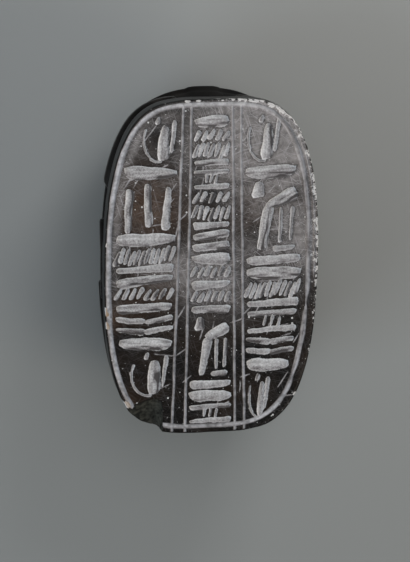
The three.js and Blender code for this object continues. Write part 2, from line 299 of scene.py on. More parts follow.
def combine(piece: bpy.types.Object, other: bpy.types.Object, operation: str) -> None:
    """Join a piece with another, or cut it, and remove the other.

    Args:
        piece: Piece that stays.
        other: Piece that is used up.
        operation: UNION or DIFFERENCE.
    """
    pick(piece)
    modifier = piece.modifiers.new("combine", "BOOLEAN")
    modifier.operation = operation
    modifier.solver = "MANIFOLD"
    modifier.object = other
    bpy.ops.object.modifier_apply(modifier=modifier.name)
    bpy.data.objects.remove(other)


@dataclass(frozen=True)
class Oval:
    """A flat-ended oval: half sizes in mm, middle, and how it leans."""

    half_width: float
    half_length: float
    middle: Point = (0.0, 0.0)
    lean: float = 0.02
    end_power: float = 4.1
    side_power: float = 2.4

    def reach(self, angle: Array, inset: Array | float = 0.0) -> Array:
        """Find the distance from the middle to the outline by halving.

        Args:
            angle: Directions, in radians from +X.
            inset: How far the outline stands in, in mm.

        Returns:
            The distances, in mm.
        """
        across = np.abs(np.cos(angle)) / (self.half_width - inset)
        along = np.abs(np.sin(angle)) / (self.half_length - inset)
        near = np.zeros(np.shape(angle))
        far = near + self.half_width + self.half_length
        for _ in range(HALVINGS):
            between = (near + far) / 2
            inside = (between * across) ** self.end_power + (between * along) ** self.side_power < 1
            near, far = np.where(inside, between, near), np.where(inside, far, between)
        return near

    def point(
        self, angle: Array, inset: Array | float = 0.0, scale: Array | float = 1.0
    ) -> tuple[Array, Array]:
        """Give points of the outline.

        Args:
            angle: Directions, in radians from +X.
            inset: How far the points stand in, in mm.
            scale: Share of the way from the middle.

        Returns:
            X and Y of the points, in mm.
        """
        reach = self.reach(angle, inset) * scale
        y = reach * np.sin(angle)
        return reach * np.cos(angle) + self.lean * y + self.middle[0], y + self.middle[1]

    def depth_inside(self, x: Array, y: Array) -> Array:
        """Give the distance of points inside the outline, less than 0 outside.

        Args:
            x: X of the points, in mm.
            y: Y of the points, in mm.

        Returns:
            The distances, in mm.
        """
        along = np.abs(y - self.middle[1]) / self.half_length
        across = np.abs(x - self.middle[0] - self.lean * (y - self.middle[1])) / self.half_width
        fill = across ** self.end_power + along ** self.side_power
        slope_x = self.end_power * across ** (self.end_power - 1) / self.half_width
        slope_y = self.side_power * along ** (self.side_power - 1) / self.half_length
        return (1 - fill) / np.maximum(np.hypot(slope_x, slope_y), LEAST_SLOPE)

    def side_x(self, side: int, y: float, inset: float) -> float:
        """Give X of the outline at a Y.

        Args:
            side: -1 for the -X side, 1 for the +X side.
            y: Y, in mm.
            inset: How far inside the outline, in mm.

        Returns:
            X, in mm.
        """
        along = min(1.0, abs(y - self.middle[1]) / self.half_length)
        half = self.half_width * (1 - along ** self.side_power) ** (1 / self.end_power)
        return self.middle[0] + self.lean * y + side * (half - inset)


@dataclass(frozen=True)
class Stroke:
    """One graver stroke. fullness is the share of its length that keeps the full breadth."""

    # Hand-cut unevenness: shares of the breadth, and the length of each ripple in mm.
    FLARE: ClassVar[float] = 0.35
    ROUGH: ClassVar[float] = 0.18
    BEND: ClassVar[float] = 1.2
    BEND_RUN: ClassVar[float] = 2.5
    BOWED_RUN: ClassVar[float] = 0.7
    STRAIGHT_RUN: ClassVar[float] = 0.9
    STRAIGHT_ROUGH: ClassVar[float] = 0.6
    STRAIGHT_TAPER: ClassVar[float] = 0.4
    END_SLANT: ClassVar[float] = 0.3
    LEAST_BREADTH: ClassVar[float] = 0.1

    x: float
    y: float
    degrees: float
    length: float
    breadth: float
    fullness: float

    def local(self, x: Array, y: Array) -> tuple[Array, Array]:
        """Turn points into distances along and across the stroke.

        Args:
            x: X of the points, in mm.
            y: Y of the points, in mm.

        Returns:
            Distance along and across, in mm.
        """
        turn = math.radians(self.degrees)
        along = (x - self.x) * math.cos(turn) + (y - self.y) * math.sin(turn)
        across = (y - self.y) * math.cos(turn) - (x - self.x) * math.sin(turn)
        return along, across

    def section(self, along: Array, across: Array, seed: float) -> tuple[Array, Array]:
        """Find where points lie in the stroke, which has one straight and one bowed edge, both ragged.

        Args:
            along: Distance along the stroke, in mm.
            across: Distance across the stroke, in mm.
            seed: Number that picks the raggedness.

        Returns:
            Distance inside the stroke in mm, less than 0 outside, and the share of the way to the straight
            edge.
        """
        reach = self.length / 2
        taper = np.clip((np.abs(along) / reach - self.fullness) / (1 - self.fullness), 0, 1)
        half = self.breadth / 2 * (1 + self.FLARE * scatter(seed + 70) * along / reach)
        rough = min(self.ROUGH, self.ROUGH * self.breadth)
        bend = self.BEND * rough * ripple(along, self.BEND_RUN, seed + 9)
        bowed = half * np.sqrt(1 - taper * taper) + rough * ripple(along, self.BOWED_RUN, seed)
        straight = half * (1 - self.STRAIGHT_TAPER * taper * taper)
        straight = straight + self.STRAIGHT_ROUGH * rough * ripple(along, self.STRAIGHT_RUN, seed + 5)
        to_straight, to_bowed = straight - across - bend, bowed + across + bend
        to_end = reach - np.abs(along + self.END_SLANT * scatter(seed + 71) * across)
        share = np.clip(to_bowed / np.maximum(to_straight + to_bowed, self.LEAST_BREADTH), 0, 1)
        return np.minimum(np.minimum(to_straight, to_bowed), to_end), share


@dataclass(frozen=True)
class Box:
    """The space of one row in a column, in mm."""

    # Strokes side by side stray by this share of the height and this many degrees.
    STRAY: ClassVar[float] = 0.1
    STRAY_DEGREES: ClassVar[float] = 5.0

    left: float
    right: float
    y: float
    height: float
    seed: int

    @property
    def width(self) -> float:
        """Breadth of the space."""
        return self.right - self.left

    @property
    def x(self) -> float:
        """Middle of the space."""
        return (self.left + self.right) / 2

    def spread(
        self, count: int, degrees: float, length: float, breadth: float, fullness: float
    ) -> list[Stroke]:
        """Lay strokes side by side across the space.

        Args:
            count: Number of strokes.
            degrees: Direction of each stroke.
            length: Length of each stroke, in mm.
            breadth: Breadth of each stroke, in mm.
            fullness: Share of the length at full breadth.

        Returns:
            The strokes.
        """
        made = []
        for i in range(count):
            x = self.left + (i + 0.5) / count * self.width
            y = self.y + self.STRAY * self.height * scatter(self.seed + i + 50)
            turn = degrees + self.STRAY_DEGREES * scatter(self.seed + i)
            made.append(Stroke(x, y, turn, length, breadth, fullness))
        return made

    def part(self, left: float, right: float, bottom: float, top: float) -> "Box":
        """Give a part of the space.

        Args:
            left: Share of the width where it starts.
            right: Share of the width where it ends.
            bottom: Share of the height where it starts.
            top: Share of the height where it ends.

        Returns:
            The smaller space.
        """
        low = self.y - self.height / 2
        return Box(
            self.left + left * self.width,
            self.left + right * self.width,
            low + (bottom + top) / 2 * self.height,
            (top - bottom) * self.height,
            self.seed,
        )


def arc(x: float, y: float, radii: Point, degrees: Point, breadth: float) -> list[Stroke]:
    """Lay a thin curved stroke out of short ones.

    Args:
        x: X of the curve's middle, in mm.
        y: Y of the curve's middle, in mm.
        radii: Half breadth and half height of the curve, in mm.
        degrees: Directions of its two ends.
        breadth: Breadth of the stroke, in mm.

    Returns:
        The short strokes.
    """
    turns = np.radians(np.linspace(degrees[0], degrees[1], ARC_STEPS + 1))
    ends_x, ends_y = x + radii[0] * np.cos(turns), y + radii[1] * np.sin(turns)
    made = []
    for i in range(ARC_STEPS):
        run_x, run_y = ends_x[i + 1] - ends_x[i], ends_y[i + 1] - ends_y[i]
        middle = ((ends_x[i] + ends_x[i + 1]) / 2, (ends_y[i] + ends_y[i + 1]) / 2)
        turn = math.degrees(math.atan2(run_y, run_x))
        length = ARC_OVERLAP * math.hypot(run_x, run_y)
        made.append(Stroke(*middle, turn, length, breadth, ARC_FULLNESS))
    return made


def row_strokes(row: Row, box: Box) -> list[Stroke]:
    """Fill a row with plain strokes that spell nothing.

    Places and lengths are shares of the row's space, and the breadth of a fine stroke is in mm.

    Args:
        row: Kind of row.
        box: Space that it fills.

    Returns:
        The strokes.
    """
    x, y, wide, high = box.x, box.y, box.width, box.height
    if row is Row.BAR:
        return [Stroke(x, y, 3 + 3 * scatter(box.seed), 0.95 * wide, 0.96 * high, 0.72)]
    if row is Row.LEAF:
        return [Stroke(x, y, 3 * scatter(box.seed), 0.97 * wide, 1.05 * high, 0.4)]
    if row is Row.TICKS:
        return box.spread(round(wide / 1.5), 62, 1.05 * high, 0.9, 0.5)
    if row is Row.COMB:
        teeth = box.part(0, 1, 0.2, 1.2).spread(round(wide / 1.05), 70, 0.66 * high, 0.8, 0.6)
        return teeth + [Stroke(x, y - 0.34 * high, 2, 0.95 * wide, 0.28 * high, 0.9)]
    if row is Row.RUNGS:
        bars = [Stroke(x, y + side * 0.36 * high, 2, 0.95 * wide, 0.24 * high, 0.85) for side in (-1, 1)]
        return bars + box.part(0.3, 0.7, 0, 1).spread(3, 80, high / 2, 0.6, 0.6)
    if row is Row.POSTS:
        return box.spread(3, 87, 0.9 * high, 1.55, 0.75)
    if row is Row.BENDS:
        made = []
        for level in (0.25, -0.25):
            made.append(Stroke(x - 0.25 * wide, y + level * high, -6, 0.52 * wide, 0.28 * high, 0.7))
            made.append(Stroke(x + 0.25 * wide, y + level * high, 9, 0.52 * wide, 0.26 * high, 0.7))
        return made
    if row is Row.SWEEP:
        return arc(x - 0.02 * wide, y, (0.38 * wide, 0.46 * high), (150, 280), 0.5) + [
            Stroke(x + 0.12 * wide, y - 0.05 * high, 86, 0.75 * high, 0.28 * wide, 0.5),
            Stroke(x + 0.36 * wide, y + 0.08 * high, 83, 0.7 * high, 0.8, 0.7),
            Stroke(x - 0.04 * wide, y + 0.42 * high, 70, 1.6, 0.9, 0.3),
        ]
    return [
        Stroke(x - 0.26 * wide, y + 0.38 * high, 84, 0.22 * high, 0.2 * wide, 0.6),
        Stroke(x + 0.16 * wide, y + 0.24 * high, 27, 0.6 * wide, 0.17 * high, 0.5),
        Stroke(x - 0.14 * wide, y - 0.16 * high, 80, 0.62 * high, 0.19 * wide, 0.75),
        Stroke(x + 0.14 * wide, y - 0.12 * high, 88, 0.5 * high, 0.7, 0.8),
        Stroke(x + 0.34 * wide, y - 0.1 * high, 86, 0.48 * high, 0.7, 0.8),
        Stroke(x + 0.2 * wide, y - 0.44 * high, 3, 0.4 * wide, 1.1, 0.7),
    ]


@dataclass
class Inscription:
    """The ruled and cut face: a border line, four column lines and three columns of strokes, in mm."""

    border: Oval = Oval(20.6, 33.7, (-0.7, 0.25))
    border_line: float = 1.1
    border_depth: float = 0.45
    rule_line: float = 0.55
    rule_depth: float = 0.3
    rules: tuple[Point, ...] = ((-5.8, -8.4), (-4.1, -5.7), (4.2, 4.9), (5.95, 6.8))
    rule_ends: Point = (33.7, -35.0)
    half_length: float = HALF_LENGTH
    margin: float = 0.6
    head: float = 31.6
    tails: tuple[float, float, float] = (-27.0, -33.0, -32.6)
    row_gap: float = 0.6
    row_edges: Point = (0.3, 0.7)
    stroke_depth: float = 0.7
    wall: float = 0.3
    bowed_share: float = 0.55
    stroke_margin: float = 1.2
    bare_grain: float = 1.2

    # Streaks along a stroke, brighter towards its straight edge, and chatter marks across some strokes.
    streak_size: Point = (2.2, 0.3)
    streak_relief: float = 0.25
    streak_lean: float = 0.9
    streak_most: float = 1.4
    chatter_size: Point = (0.35, 2.5)
    chatter_shares: tuple[float, float, float] = (0.25, 0.5, 0.25)

    # The border is uneven, darker along its inner side as painted shade, and the +X side of it is worn grey,
    # with a second line outside it.
    border_wall: float = 0.35
    border_uneven: float = 0.16
    uneven_run: float = 3.0
    border_streak: Point = (6.0, 0.3)
    mm_per_radian: float = 28.0
    streak_fade: float = 0.22
    painted_inner_shade: float = 0.6
    border_bright: float = 0.06
    left_bright: float = 0.05
    left_x: Point = (-9.0, -16.0)
    line_most: float = 0.4
    worn_x: Point = (12.0, 19.0)
    worn_breadth: float = 0.05
    worn_shift: float = 0.15
    worn_loss: float = 0.4
    worn_patch: Point = (1.6, 2.6)
    grey_x: Point = (8.0, 17.0)
    grey_shares: Point = (0.12, 0.28)
    outer_offset: float = 1.35
    outer_half: float = 0.22
    outer_depth: float = 0.25
    outer_wall: float = 0.2
    outer_end: Point = (-2.0, -8.0)
    outer_fade: float = 2.0

    # The column lines wander a little and have ragged edges.
    rule_wall: float = 0.25
    rule_wander: float = 0.14
    rule_wander_run: float = 5.0
    rule_ragged: float = 0.12
    rule_ragged_size: Point = (0.6, 1.6)

    # Slips of the graver: the least length and turn, and how far they vary.
    slip_count: int = 70
    slip_area: Point = (18.0, 30.0)
    slip_length: Point = (2.5, 3.5)
    slip_turn: Point = (45.0, 55.0)
    slip_breadth: float = 0.3
    slip_fullness: float = 0.3
    slip_depth: float = 0.08
    slip_wall: float = 0.15
    slip_margin: float = 1.0

    left_rows: tuple[Row, ...] = (
        Row.SWEEP, Row.LEAF, Row.POSTS, Row.LEAF, Row.COMB, Row.BAR, Row.TICKS, Row.BAR, Row.BENDS, Row.LEAF,
        Row.SWEEP,
    )
    middle_rows: tuple[Row, ...] = (
        Row.LEAF, Row.TICKS, Row.COMB, Row.RUNGS, Row.TICKS, Row.COMB, Row.BAR, Row.BAR, Row.LEAF, Row.TICKS,
        Row.BAR, Row.TICKS, Row.BAR, Row.STILTS, Row.BAR, Row.LEAF, Row.RUNGS,
    )
    right_rows: tuple[Row, ...] = (
        Row.SWEEP, Row.LEAF, Row.STILTS, Row.BAR, Row.LEAF, Row.COMB, Row.RUNGS, Row.BENDS, Row.LEAF,
        Row.SWEEP,
    )

    def rule_x(self, number: int, y: Array | float) -> Array | float:
        """Give X of a column line at a Y."""
        start, end = self.rules[number]
        return start + (self.half_length - y) / (2 * self.half_length) * (end - start)

    def column_edges(self, column: int, y: float) -> Point:
        """Give the edges that a column's strokes keep to.

        Args:
            column: 0 to 2 from -X.
            y: Y, in mm.

        Returns:
            X of the left and the right edge, in mm.
        """
        inset = self.border_line / 2
        left = self.border.side_x(-1, y, inset) if column == 0 else self.rule_x(2 * column - 1, y)
        right = self.border.side_x(1, y, inset) if column == 2 else self.rule_x(2 * column, y)
        return left + self.margin, right - self.margin

    def strokes(self) -> list[Stroke]:
        """Lay out the rows of all columns from the head end.

        Returns:
            Every stroke of the inscription.
        """
        made = []
        for column, rows in enumerate((self.left_rows, self.middle_rows, self.right_rows)):
            room = self.head - self.tails[column] - self.row_gap * (len(rows) - 1)
            stretch = room / sum(row.value for row in rows)
            top = self.head
            for number, row in enumerate(rows):
                high = row.value * stretch
                edges = [self.column_edges(column, top - share * high) for share in self.row_edges]
                left, right = max(edge[0] for edge in edges), min(edge[1] for edge in edges)
                seed = 100 * column + 7 * number + 1
                made += row_strokes(row, Box(left, right, top - high / 2, high, seed))
                top -= high + self.row_gap
        return made

    def carve_strokes(self, x: Array, y: Array) -> tuple[Array, Array, Array]:
        """Find what the strokes take off the face.

        Args:
            x: X of the points, in mm.
            y: Y of the points, in mm.

        Returns:
            Depth in mm, distance inside a stroke in mm, and the brightness of the graver's streaks.
        """
        depth, inside = np.zeros(x.shape), np.full(x.shape, -1.0)
        streak = grain(x, y, self.bare_grain, self.bare_grain, 5)
        base, kept, added = self.chatter_shares
        for number, stroke in enumerate(self.strokes()):
            away = np.hypot(x - stroke.x, y - stroke.y)
            near = np.flatnonzero(away < stroke.length / 2 + self.stroke_margin)
            along, across = stroke.local(x[near], y[near])
            within, lean = stroke.section(along, across, number)
            marks = grain(along, across, *self.streak_size, number + 0.3)
            if scatter(number + 40) > 0:
                marks = base + kept * marks + added * grain(along, across, *self.chatter_size, number + 0.6)
            cut = self.stroke_depth * groove(within, self.wall)
            cut = cut * (self.bowed_share + (1 - self.bowed_share) * lean)
            cut = cut * (1 - self.streak_relief + self.streak_relief * marks)
            depth[near] = np.maximum(depth[near], cut)
            shown = np.clip(marks + self.streak_lean * (lean - 0.5), 0, self.streak_most)
            streak[near] = np.where(within > inside[near], shown, streak[near])
            inside[near] = np.maximum(inside[near], within)
        return depth, inside, streak

    def carve_lines(self, x: Array, y: Array) -> tuple[Array, Array]:
        """Find what the border and the column lines take off the face.

        Args:
            x: X of the points, in mm.
            y: Y of the points, in mm.

        Returns:
            Depth in mm, and distance inside a line in mm.
        """
        off = self.border.depth_inside(x, y)
        worn = smooth(*self.worn_x, x)
        uneven = self.border_uneven * (grain(x, y, self.uneven_run, self.uneven_run, 3) - 0.5)
        half = self.border_line / 2 + self.worn_breadth * worn + uneven
        border = half - np.abs(off + self.worn_shift * worn)
        outer = self.outer_half - np.abs(off + self.outer_offset)
        outer = outer - self.outer_fade * (1 - worn) - self.outer_fade * smooth(*self.outer_end, y)
        depth = self.border_depth * groove(border, self.border_wall)
        depth = np.maximum(depth, self.outer_depth * np.clip(outer / self.outer_wall, 0, 1))
        streaks = grain(self.mm_per_radian * np.arctan2(y, x), off, *self.border_streak, 15)
        # Painted shade: the border is darkened along its inner side.
        fade = np.where(off > 0, self.painted_inner_shade * border, border) - self.streak_fade * streaks
        fade = fade + self.left_bright * smooth(*self.left_x, x)
        inside = np.maximum(fade + self.border_bright, outer)
        inside = inside - self.worn_loss * worn * grain(x, y, *self.worn_patch, 13) ** 2
        grey = (self.grey_shares[0] + self.grey_shares[1] * streaks) * smooth(*self.grey_x, x)
        inside = np.minimum(inside, self.line_most - grey)
        for number in range(len(self.rules)):
            wander = self.rule_wander * ripple(y, self.rule_wander_run, number + 20)
            rule = self.rule_line / 2 - np.abs(x - self.rule_x(number, y) - wander)
            rule = np.minimum(rule, np.minimum(self.rule_ends[0] - y, y - self.rule_ends[1]))
            rule = rule + self.rule_ragged * (grain(x, y, *self.rule_ragged_size, number + 30) - 0.5)
            depth = np.maximum(depth, self.rule_depth * groove(rule, self.rule_wall))
            inside = np.maximum(inside, rule)
        for number, slip in enumerate(self.slips()):
            near = np.flatnonzero(np.hypot(x - slip.x, y - slip.y) < slip.length / 2 + self.slip_margin)
            within, _ = slip.section(*slip.local(x[near], y[near]), number + 0.7)
            depth[near] = np.maximum(depth[near], self.slip_depth * np.clip(within / self.slip_wall, 0, 1))
            inside[near] = np.maximum(inside[near], within)
        return depth, inside

    def slips(self) -> list[Stroke]:
        """Scatter the fine scratches where the graver slipped.

        Returns:
            The scratches, as thin strokes.
        """
        made = []
        for i in range(self.slip_count):
            x, y = self.slip_area[0] * scatter(i + 600), self.slip_area[1] * scatter(i + 700)
            length = self.slip_length[0] + self.slip_length[1] * abs(scatter(i + 800)) ** 2
            degrees = self.slip_turn[0] + self.slip_turn[1] * scatter(i + 900)
            made.append(Stroke(x, y, degrees, length, self.slip_breadth, self.slip_fullness))
        return made


@dataclass
class Wear:
    """Chips along the edge of the base, and the rubbed patches and painted sheen of the face, in mm."""

    outline: Oval

    # Chips are close together over the chipped turns, in degrees from +X, and every tenth lies elsewhere.
    chip_count: int = 36
    chip_jitter: float = 1.8
    chipped_turns: Point = (-30.0, 125.0)
    sparse_turns: Point = (100.0, 230.0)
    sparse_every: int = 10
    chip_reach: Point = (0.28, 0.45)
    chip_inset: Point = (0.1, 0.2)
    chip_depth: float = 0.45
    chip_rough: float = 0.5
    chip_grain: float = 0.5
    chip_halo: float = 1.15
    stretch: float = 1.9

    # Flecks keep to a band along the edge, most between these X and Y on the +X side and at the head end.
    band: float = 2.4
    least_flecks: float = 0.25
    flecked_side: tuple[Point, Point] = ((6.0, 18.0), (-24.0, 0.0))
    flecked_head: tuple[Point, Point] = ((-6.0, 6.0), (26.0, 33.0))

    # A painted sheen pales the face towards the head end, rubbing pales a strip inside the border on the -X
    # side, and the face is paler in soft round patches.
    painted_head_sheen: float = 0.1
    painted_sheen_y: Point = (-26.0, 24.0)
    rub_inset: float = 2.8
    rub_breadth: float = 1.3
    rub_most: float = 0.55
    rub_area: tuple[Point, Point] = ((-4.0, -14.0), (-12.0, 4.0))
    wear_shares: Point = (0.4, 1.2)
    wear_grain: float = 3.0

    # X, Y, radius and strength of each patch, or depth of each chip.
    patches: tuple[Spot, ...] = (
        (15.0, 24.0, 9.0, 1.2),
        (7.0, 27.0, 8.0, 1.5),
        (-4.5, 22.0, 9.0, 0.1),
        (1.0, -2.0, 6.5, 0.8),
        (-6.5, 0.0, 4.0, 0.6),
        (17.0, 5.0, 7.0, 0.7),
        (-12.0, 2.0, 4.0, 0.35),
    )
    large_chips: tuple[Spot, ...] = (
        (15.6, 32.4, 1.5, 0.4),
        (12.6, 34.2, 1.2, 0.35),
        (17.4, 30.6, 1.0, 0.35),
        (-18.2, -28.4, 1.3, 0.35),
        (-22.0, -8.6, 0.9, 0.3),
        (-21.7, -11.4, 0.8, 0.3),
    )
    warm_patches: tuple[Spot, ...] = (
        (-22.0, -10.0, 3.0, 1.0),
        (-18.2, -28.4, 2.5, 0.6),
        (-13.0, 13.0, 7.0, 1.0),
        (-13.0, -5.0, 6.0, 0.5),
        (10.0, 12.0, 5.0, 0.5),
    )

    def chips(self) -> list[Spot]:
        """Place the chips: close together on the +X side and at the head end, few elsewhere.

        Returns:
            X, Y, radius and depth of each chip, in mm.
        """
        made = []
        for i in range(self.chip_count):
            share = (i + 0.5 + self.chip_jitter * scatter(i + 300)) / self.chip_count
            start, turn = self.chipped_turns if i % self.sparse_every else self.sparse_turns
            reach = self.chip_reach[0] + self.chip_reach[1] * abs(scatter(i + 400)) ** 2
            inset = self.chip_inset[0] + self.chip_inset[1] * scatter(i + 500)
            x, y = self.outline.point(np.radians(start + turn * share), inset)
            made.append((float(x), float(y), reach, self.chip_depth * reach))
        return made + list(self.large_chips)

    def chip(self, points: Array) -> tuple[Array, Array]:
        """Find what the chips take off.

        Args:
            points: X, Y, and depth below the face of each point, in mm.

        Returns:
            Depth in mm, and how far inside a chip each point is, 0 to 1.
        """
        depth, inside = np.zeros(len(points)), np.zeros(len(points))
        rough = self.chip_rough * grain(points[:, 0], points[:, 1], self.chip_grain, self.chip_grain, 7)
        for x, y, radius, deep in self.chips():
            gap = points - (x, y, 0.0)
            out = np.array((x, y)) / math.hypot(x, y)
            run = gap[:, :2] @ (-out[1], out[0]) / self.stretch
            away = np.sqrt((gap[:, :2] @ out) ** 2 + run ** 2 + gap[:, 2] ** 2) / radius
            share = np.clip(1 - away * away - rough, 0, 1)
            depth = np.maximum(depth, deep * np.sqrt(share))
            inside = np.maximum(inside, np.clip(self.chip_halo - away, 0, 1))
        return depth, inside

    def flecked(self, x: Array, y: Array) -> Array:
        """Give how close the points are to the flecked edge, most on the +X side and at the head end.

        Args:
            x: X of the points, in mm.
            y: Y of the points, in mm.

        Returns:
            The share, 0 away from the edge and 1 at it.
        """
        near = 1 - np.clip(self.outline.depth_inside(x, y) / self.band, 0, 1)
        (side_x, side_y), (head_x, head_y) = self.flecked_side, self.flecked_head
        side, head = smooth(*side_x, x) * smooth(*side_y, y), smooth(*head_x, x) * smooth(*head_y, y)
        return near * (self.least_flecks + (1 - self.least_flecks) * np.maximum(side, head))

    def patchy(self, x: Array, y: Array, patches: tuple[Spot, ...]) -> Array:
        """Add up soft round patches.

        Args:
            x: X of the points, in mm.
            y: Y of the points, in mm.
            patches: X, Y, radius and strength of each patch.

        Returns:
            The strength at each point.
        """
        return sum(
            most * np.exp(-((x - middle_x) ** 2 + (y - middle_y) ** 2) / (size * size))
            for middle_x, middle_y, size, most in patches
        )

    def rubbed(self, x: Array, y: Array) -> Array:
        """Give how far the face is made pale: rubbed in a strip, paler in soft patches, and a painted sheen
        that grows towards the head end.

        Args:
            x: X of the points, in mm.
            y: Y of the points, in mm.

        Returns:
            The share of wear and painted sheen, 0 to 1.
        """
        # Painted sheen: the face is paled more and more towards the head end.
        wear = self.painted_head_sheen * smooth(*self.painted_sheen_y, y) + self.patchy(x, y, self.patches)
        off_rub = (self.outline.depth_inside(x, y) - self.rub_inset) / self.rub_breadth
        rub_x, rub_y = self.rub_area
        wear = wear + self.rub_most * np.exp(-(off_rub ** 2)) * smooth(*rub_x, x) * smooth(*rub_y, y)
        uneven = grain(x, y, self.wear_grain, self.wear_grain, 11)
        return np.clip(wear * (self.wear_shares[0] + self.wear_shares[1] * uneven), 0, 1)


@dataclass
class BasePlate:
    """The oval plate that carries the inscription, in mm."""

    outline: Oval
    inscription: Inscription
    wear: Wear
    top: float = FACE_HEIGHT
    cells: tuple[int, int] = (196, 316)

    # Depth below the face and inset of each loop of the rim.
    rim: tuple[Point, ...] = (
        (0.12, 0.1), (0.35, 0.0), (0.8, 0.0), (1.6, 0.0), (2.5, 0.0), (3.4, 0.0), (4.2, 0.0), (4.65, 0.04),
        (5.0, 0.35),
    )
    edge_inset: float = 0.3

    # Hand grinding leaves the edge round and the faces a little uneven, and chips reach over the edge.
    edge_round: float = 0.14
    edge_run: float = 0.6
    hand_flat: float = 0.1
    hand_flat_run: float = 9.0
    side_uneven: float = 0.14
    side_uneven_size: Point = (2.6, 2.2)
    mm_per_radian: float = 30.0
    chip_side_share: float = 0.5
    chip_rim_share: float = 0.6
    chip_reach_down: float = 2.0
    fleck_reach_down: float = 1.0

    def blank(self) -> bpy.types.Object:
        """Model a square sheet with a wall of one loop for each level of the rim, and close it below.

        Returns:
            The blank.
        """
        bpy.ops.object.select_all(action="DESELECT")
        bpy.ops.mesh.primitive_grid_add(
            x_subdivisions=self.cells[0], y_subdivisions=self.cells[1], size=2, calc_uvs=False
        )
        plate = bpy.context.object
        bpy.ops.object.mode_set(mode="EDIT")
        bpy.ops.mesh.select_all(action="SELECT")
        bpy.ops.mesh.region_to_loop()
        for _ in self.rim:
            bpy.ops.mesh.extrude_edges_move(TRANSFORM_OT_translate={"value": (0, 0, -1)})
        bpy.ops.mesh.edge_face_add()
        bpy.ops.mesh.select_all(action="SELECT")
        bpy.ops.mesh.normals_make_consistent(inside=False)
        bpy.ops.object.mode_set(mode="OBJECT")
        return plate

    def build(self) -> bpy.types.Object:
        """Bring the blank to the oval and carve it.

        Returns:
            The plate, with the marks that the finish reads.
        """
        plate = self.blank()
        u, v, level = read_points(plate.data).T
        disc_x, disc_y = u * np.sqrt(1 - v * v / 2), v * np.sqrt(1 - u * u / 2)
        angle = np.arctan2(disc_y * self.outline.half_length, disc_x * self.outline.half_width)
        steps = np.rint(-level).astype(int)
        insets = np.array([self.edge_inset] + [inset for _, inset in self.rim])[steps]
        drops = np.array([0.0] + [drop for drop, _ in self.rim])[steps]
        x, y = self.outline.point(angle, insets, np.hypot(disc_x, disc_y))
        face = (steps == 0).astype(float)
        stroke_depth, stroke_inside, streak = self.inscription.carve_strokes(x, y)
        line_depth, line_inside = self.inscription.carve_lines(x, y)
        chip_depth, chip_inside = self.wear.chip(np.column_stack((x, y, drops)))
        edge = np.maximum(self.outline.depth_inside(x, y) - self.edge_inset, 0)
        rounding = self.edge_round * (1 - np.clip(edge / self.edge_run, 0, 1)) ** 2
        hand_flat = self.hand_flat * (grain(x, y, self.hand_flat_run, self.hand_flat_run, 2) - 0.5)
        carved = np.maximum(stroke_depth, line_depth) + rounding + hand_flat + chip_depth
        uneven = grain(angle * self.mm_per_radian, drops, *self.side_uneven_size, 4) - 0.5
        side = self.side_uneven * uneven - self.chip_side_share * chip_depth
        shrink = 1 + (1 - face) * side / np.hypot(x, y).clip(1)
        rim_chips = (1 - face) * self.chip_rim_share * chip_depth * (drops < self.chip_reach_down)
        z = self.top - drops - face * carved - rim_chips
        write_points(plate.data, np.column_stack((x * shrink, y * shrink, z)))
        write_marks(plate.data, {
            Mark.FACE: face,
            Mark.CUT: face * np.clip(stroke_inside + MARK_EDGE, 0, MARK_MOST),
            Mark.LINE: face * np.clip(line_inside + MARK_EDGE, 0, MARK_MOST),
            Mark.STREAK: streak,
            Mark.WEAR_AND_SHEEN: face * self.wear.rubbed(x, y),
            Mark.WARM: face * self.wear.patchy(x, y, self.wear.warm_patches),
            Mark.CHIP: chip_inside,
            Mark.EDGE: self.wear.flecked(x, y) * (drops < self.fleck_reach_down),
        })
        return plate


@dataclass(frozen=True)
class Leg:
    """A leg along the flank: its body end, knee and foot by degrees from the head and height in mm."""

    joints: tuple[Point, Point, Point]
    breadth: float = 3.9
    bulge: float = 1.3
    fringe: float = 0.35
    fringe_step: float = 1.3
    fringe_start: Point = (0.2, 0.5)
    fringe_end: Point = (0.8, 1.0)
    crown: float = 0.3
    mm_per_degree: float = 0.5

    def relief(self, degrees: Array, height: Array) -> Array:
        """Give how far the leg stands out of the flank, with a fringe on the shin.

        Args:
            degrees: Degrees from the head, on either side.
            height: Height above the face, in mm.

        Returns:
            The relief, in mm.
        """
        places = [np.array((turn * self.mm_per_degree, high)) for turn, high in self.joints]
        most = np.zeros(np.shape(degrees))
        for start, end, fringe in ((places[0], places[1], 0.0), (places[1], places[2], self.fringe)):
            run = end - start
            here = np.stack((degrees * self.mm_per_degree, height), axis=-1) - start
            along = here @ run / np.linalg.norm(run)
            share = np.clip(here @ run / (run @ run), 0, 1)
            off = np.linalg.norm(here - share[..., None] * run, axis=-1) / (self.breadth / 2)
            notch = fringe * np.clip(np.cos(2 * math.pi * along / self.fringe_step), 0, 1) ** 2
            body = self.bulge * (1 - smooth(self.crown, 1, off))
            cut = notch * smooth(*self.fringe_start, off) * (1 - smooth(*self.fringe_end, off))
            most = np.maximum(most, body - cut)
        return most


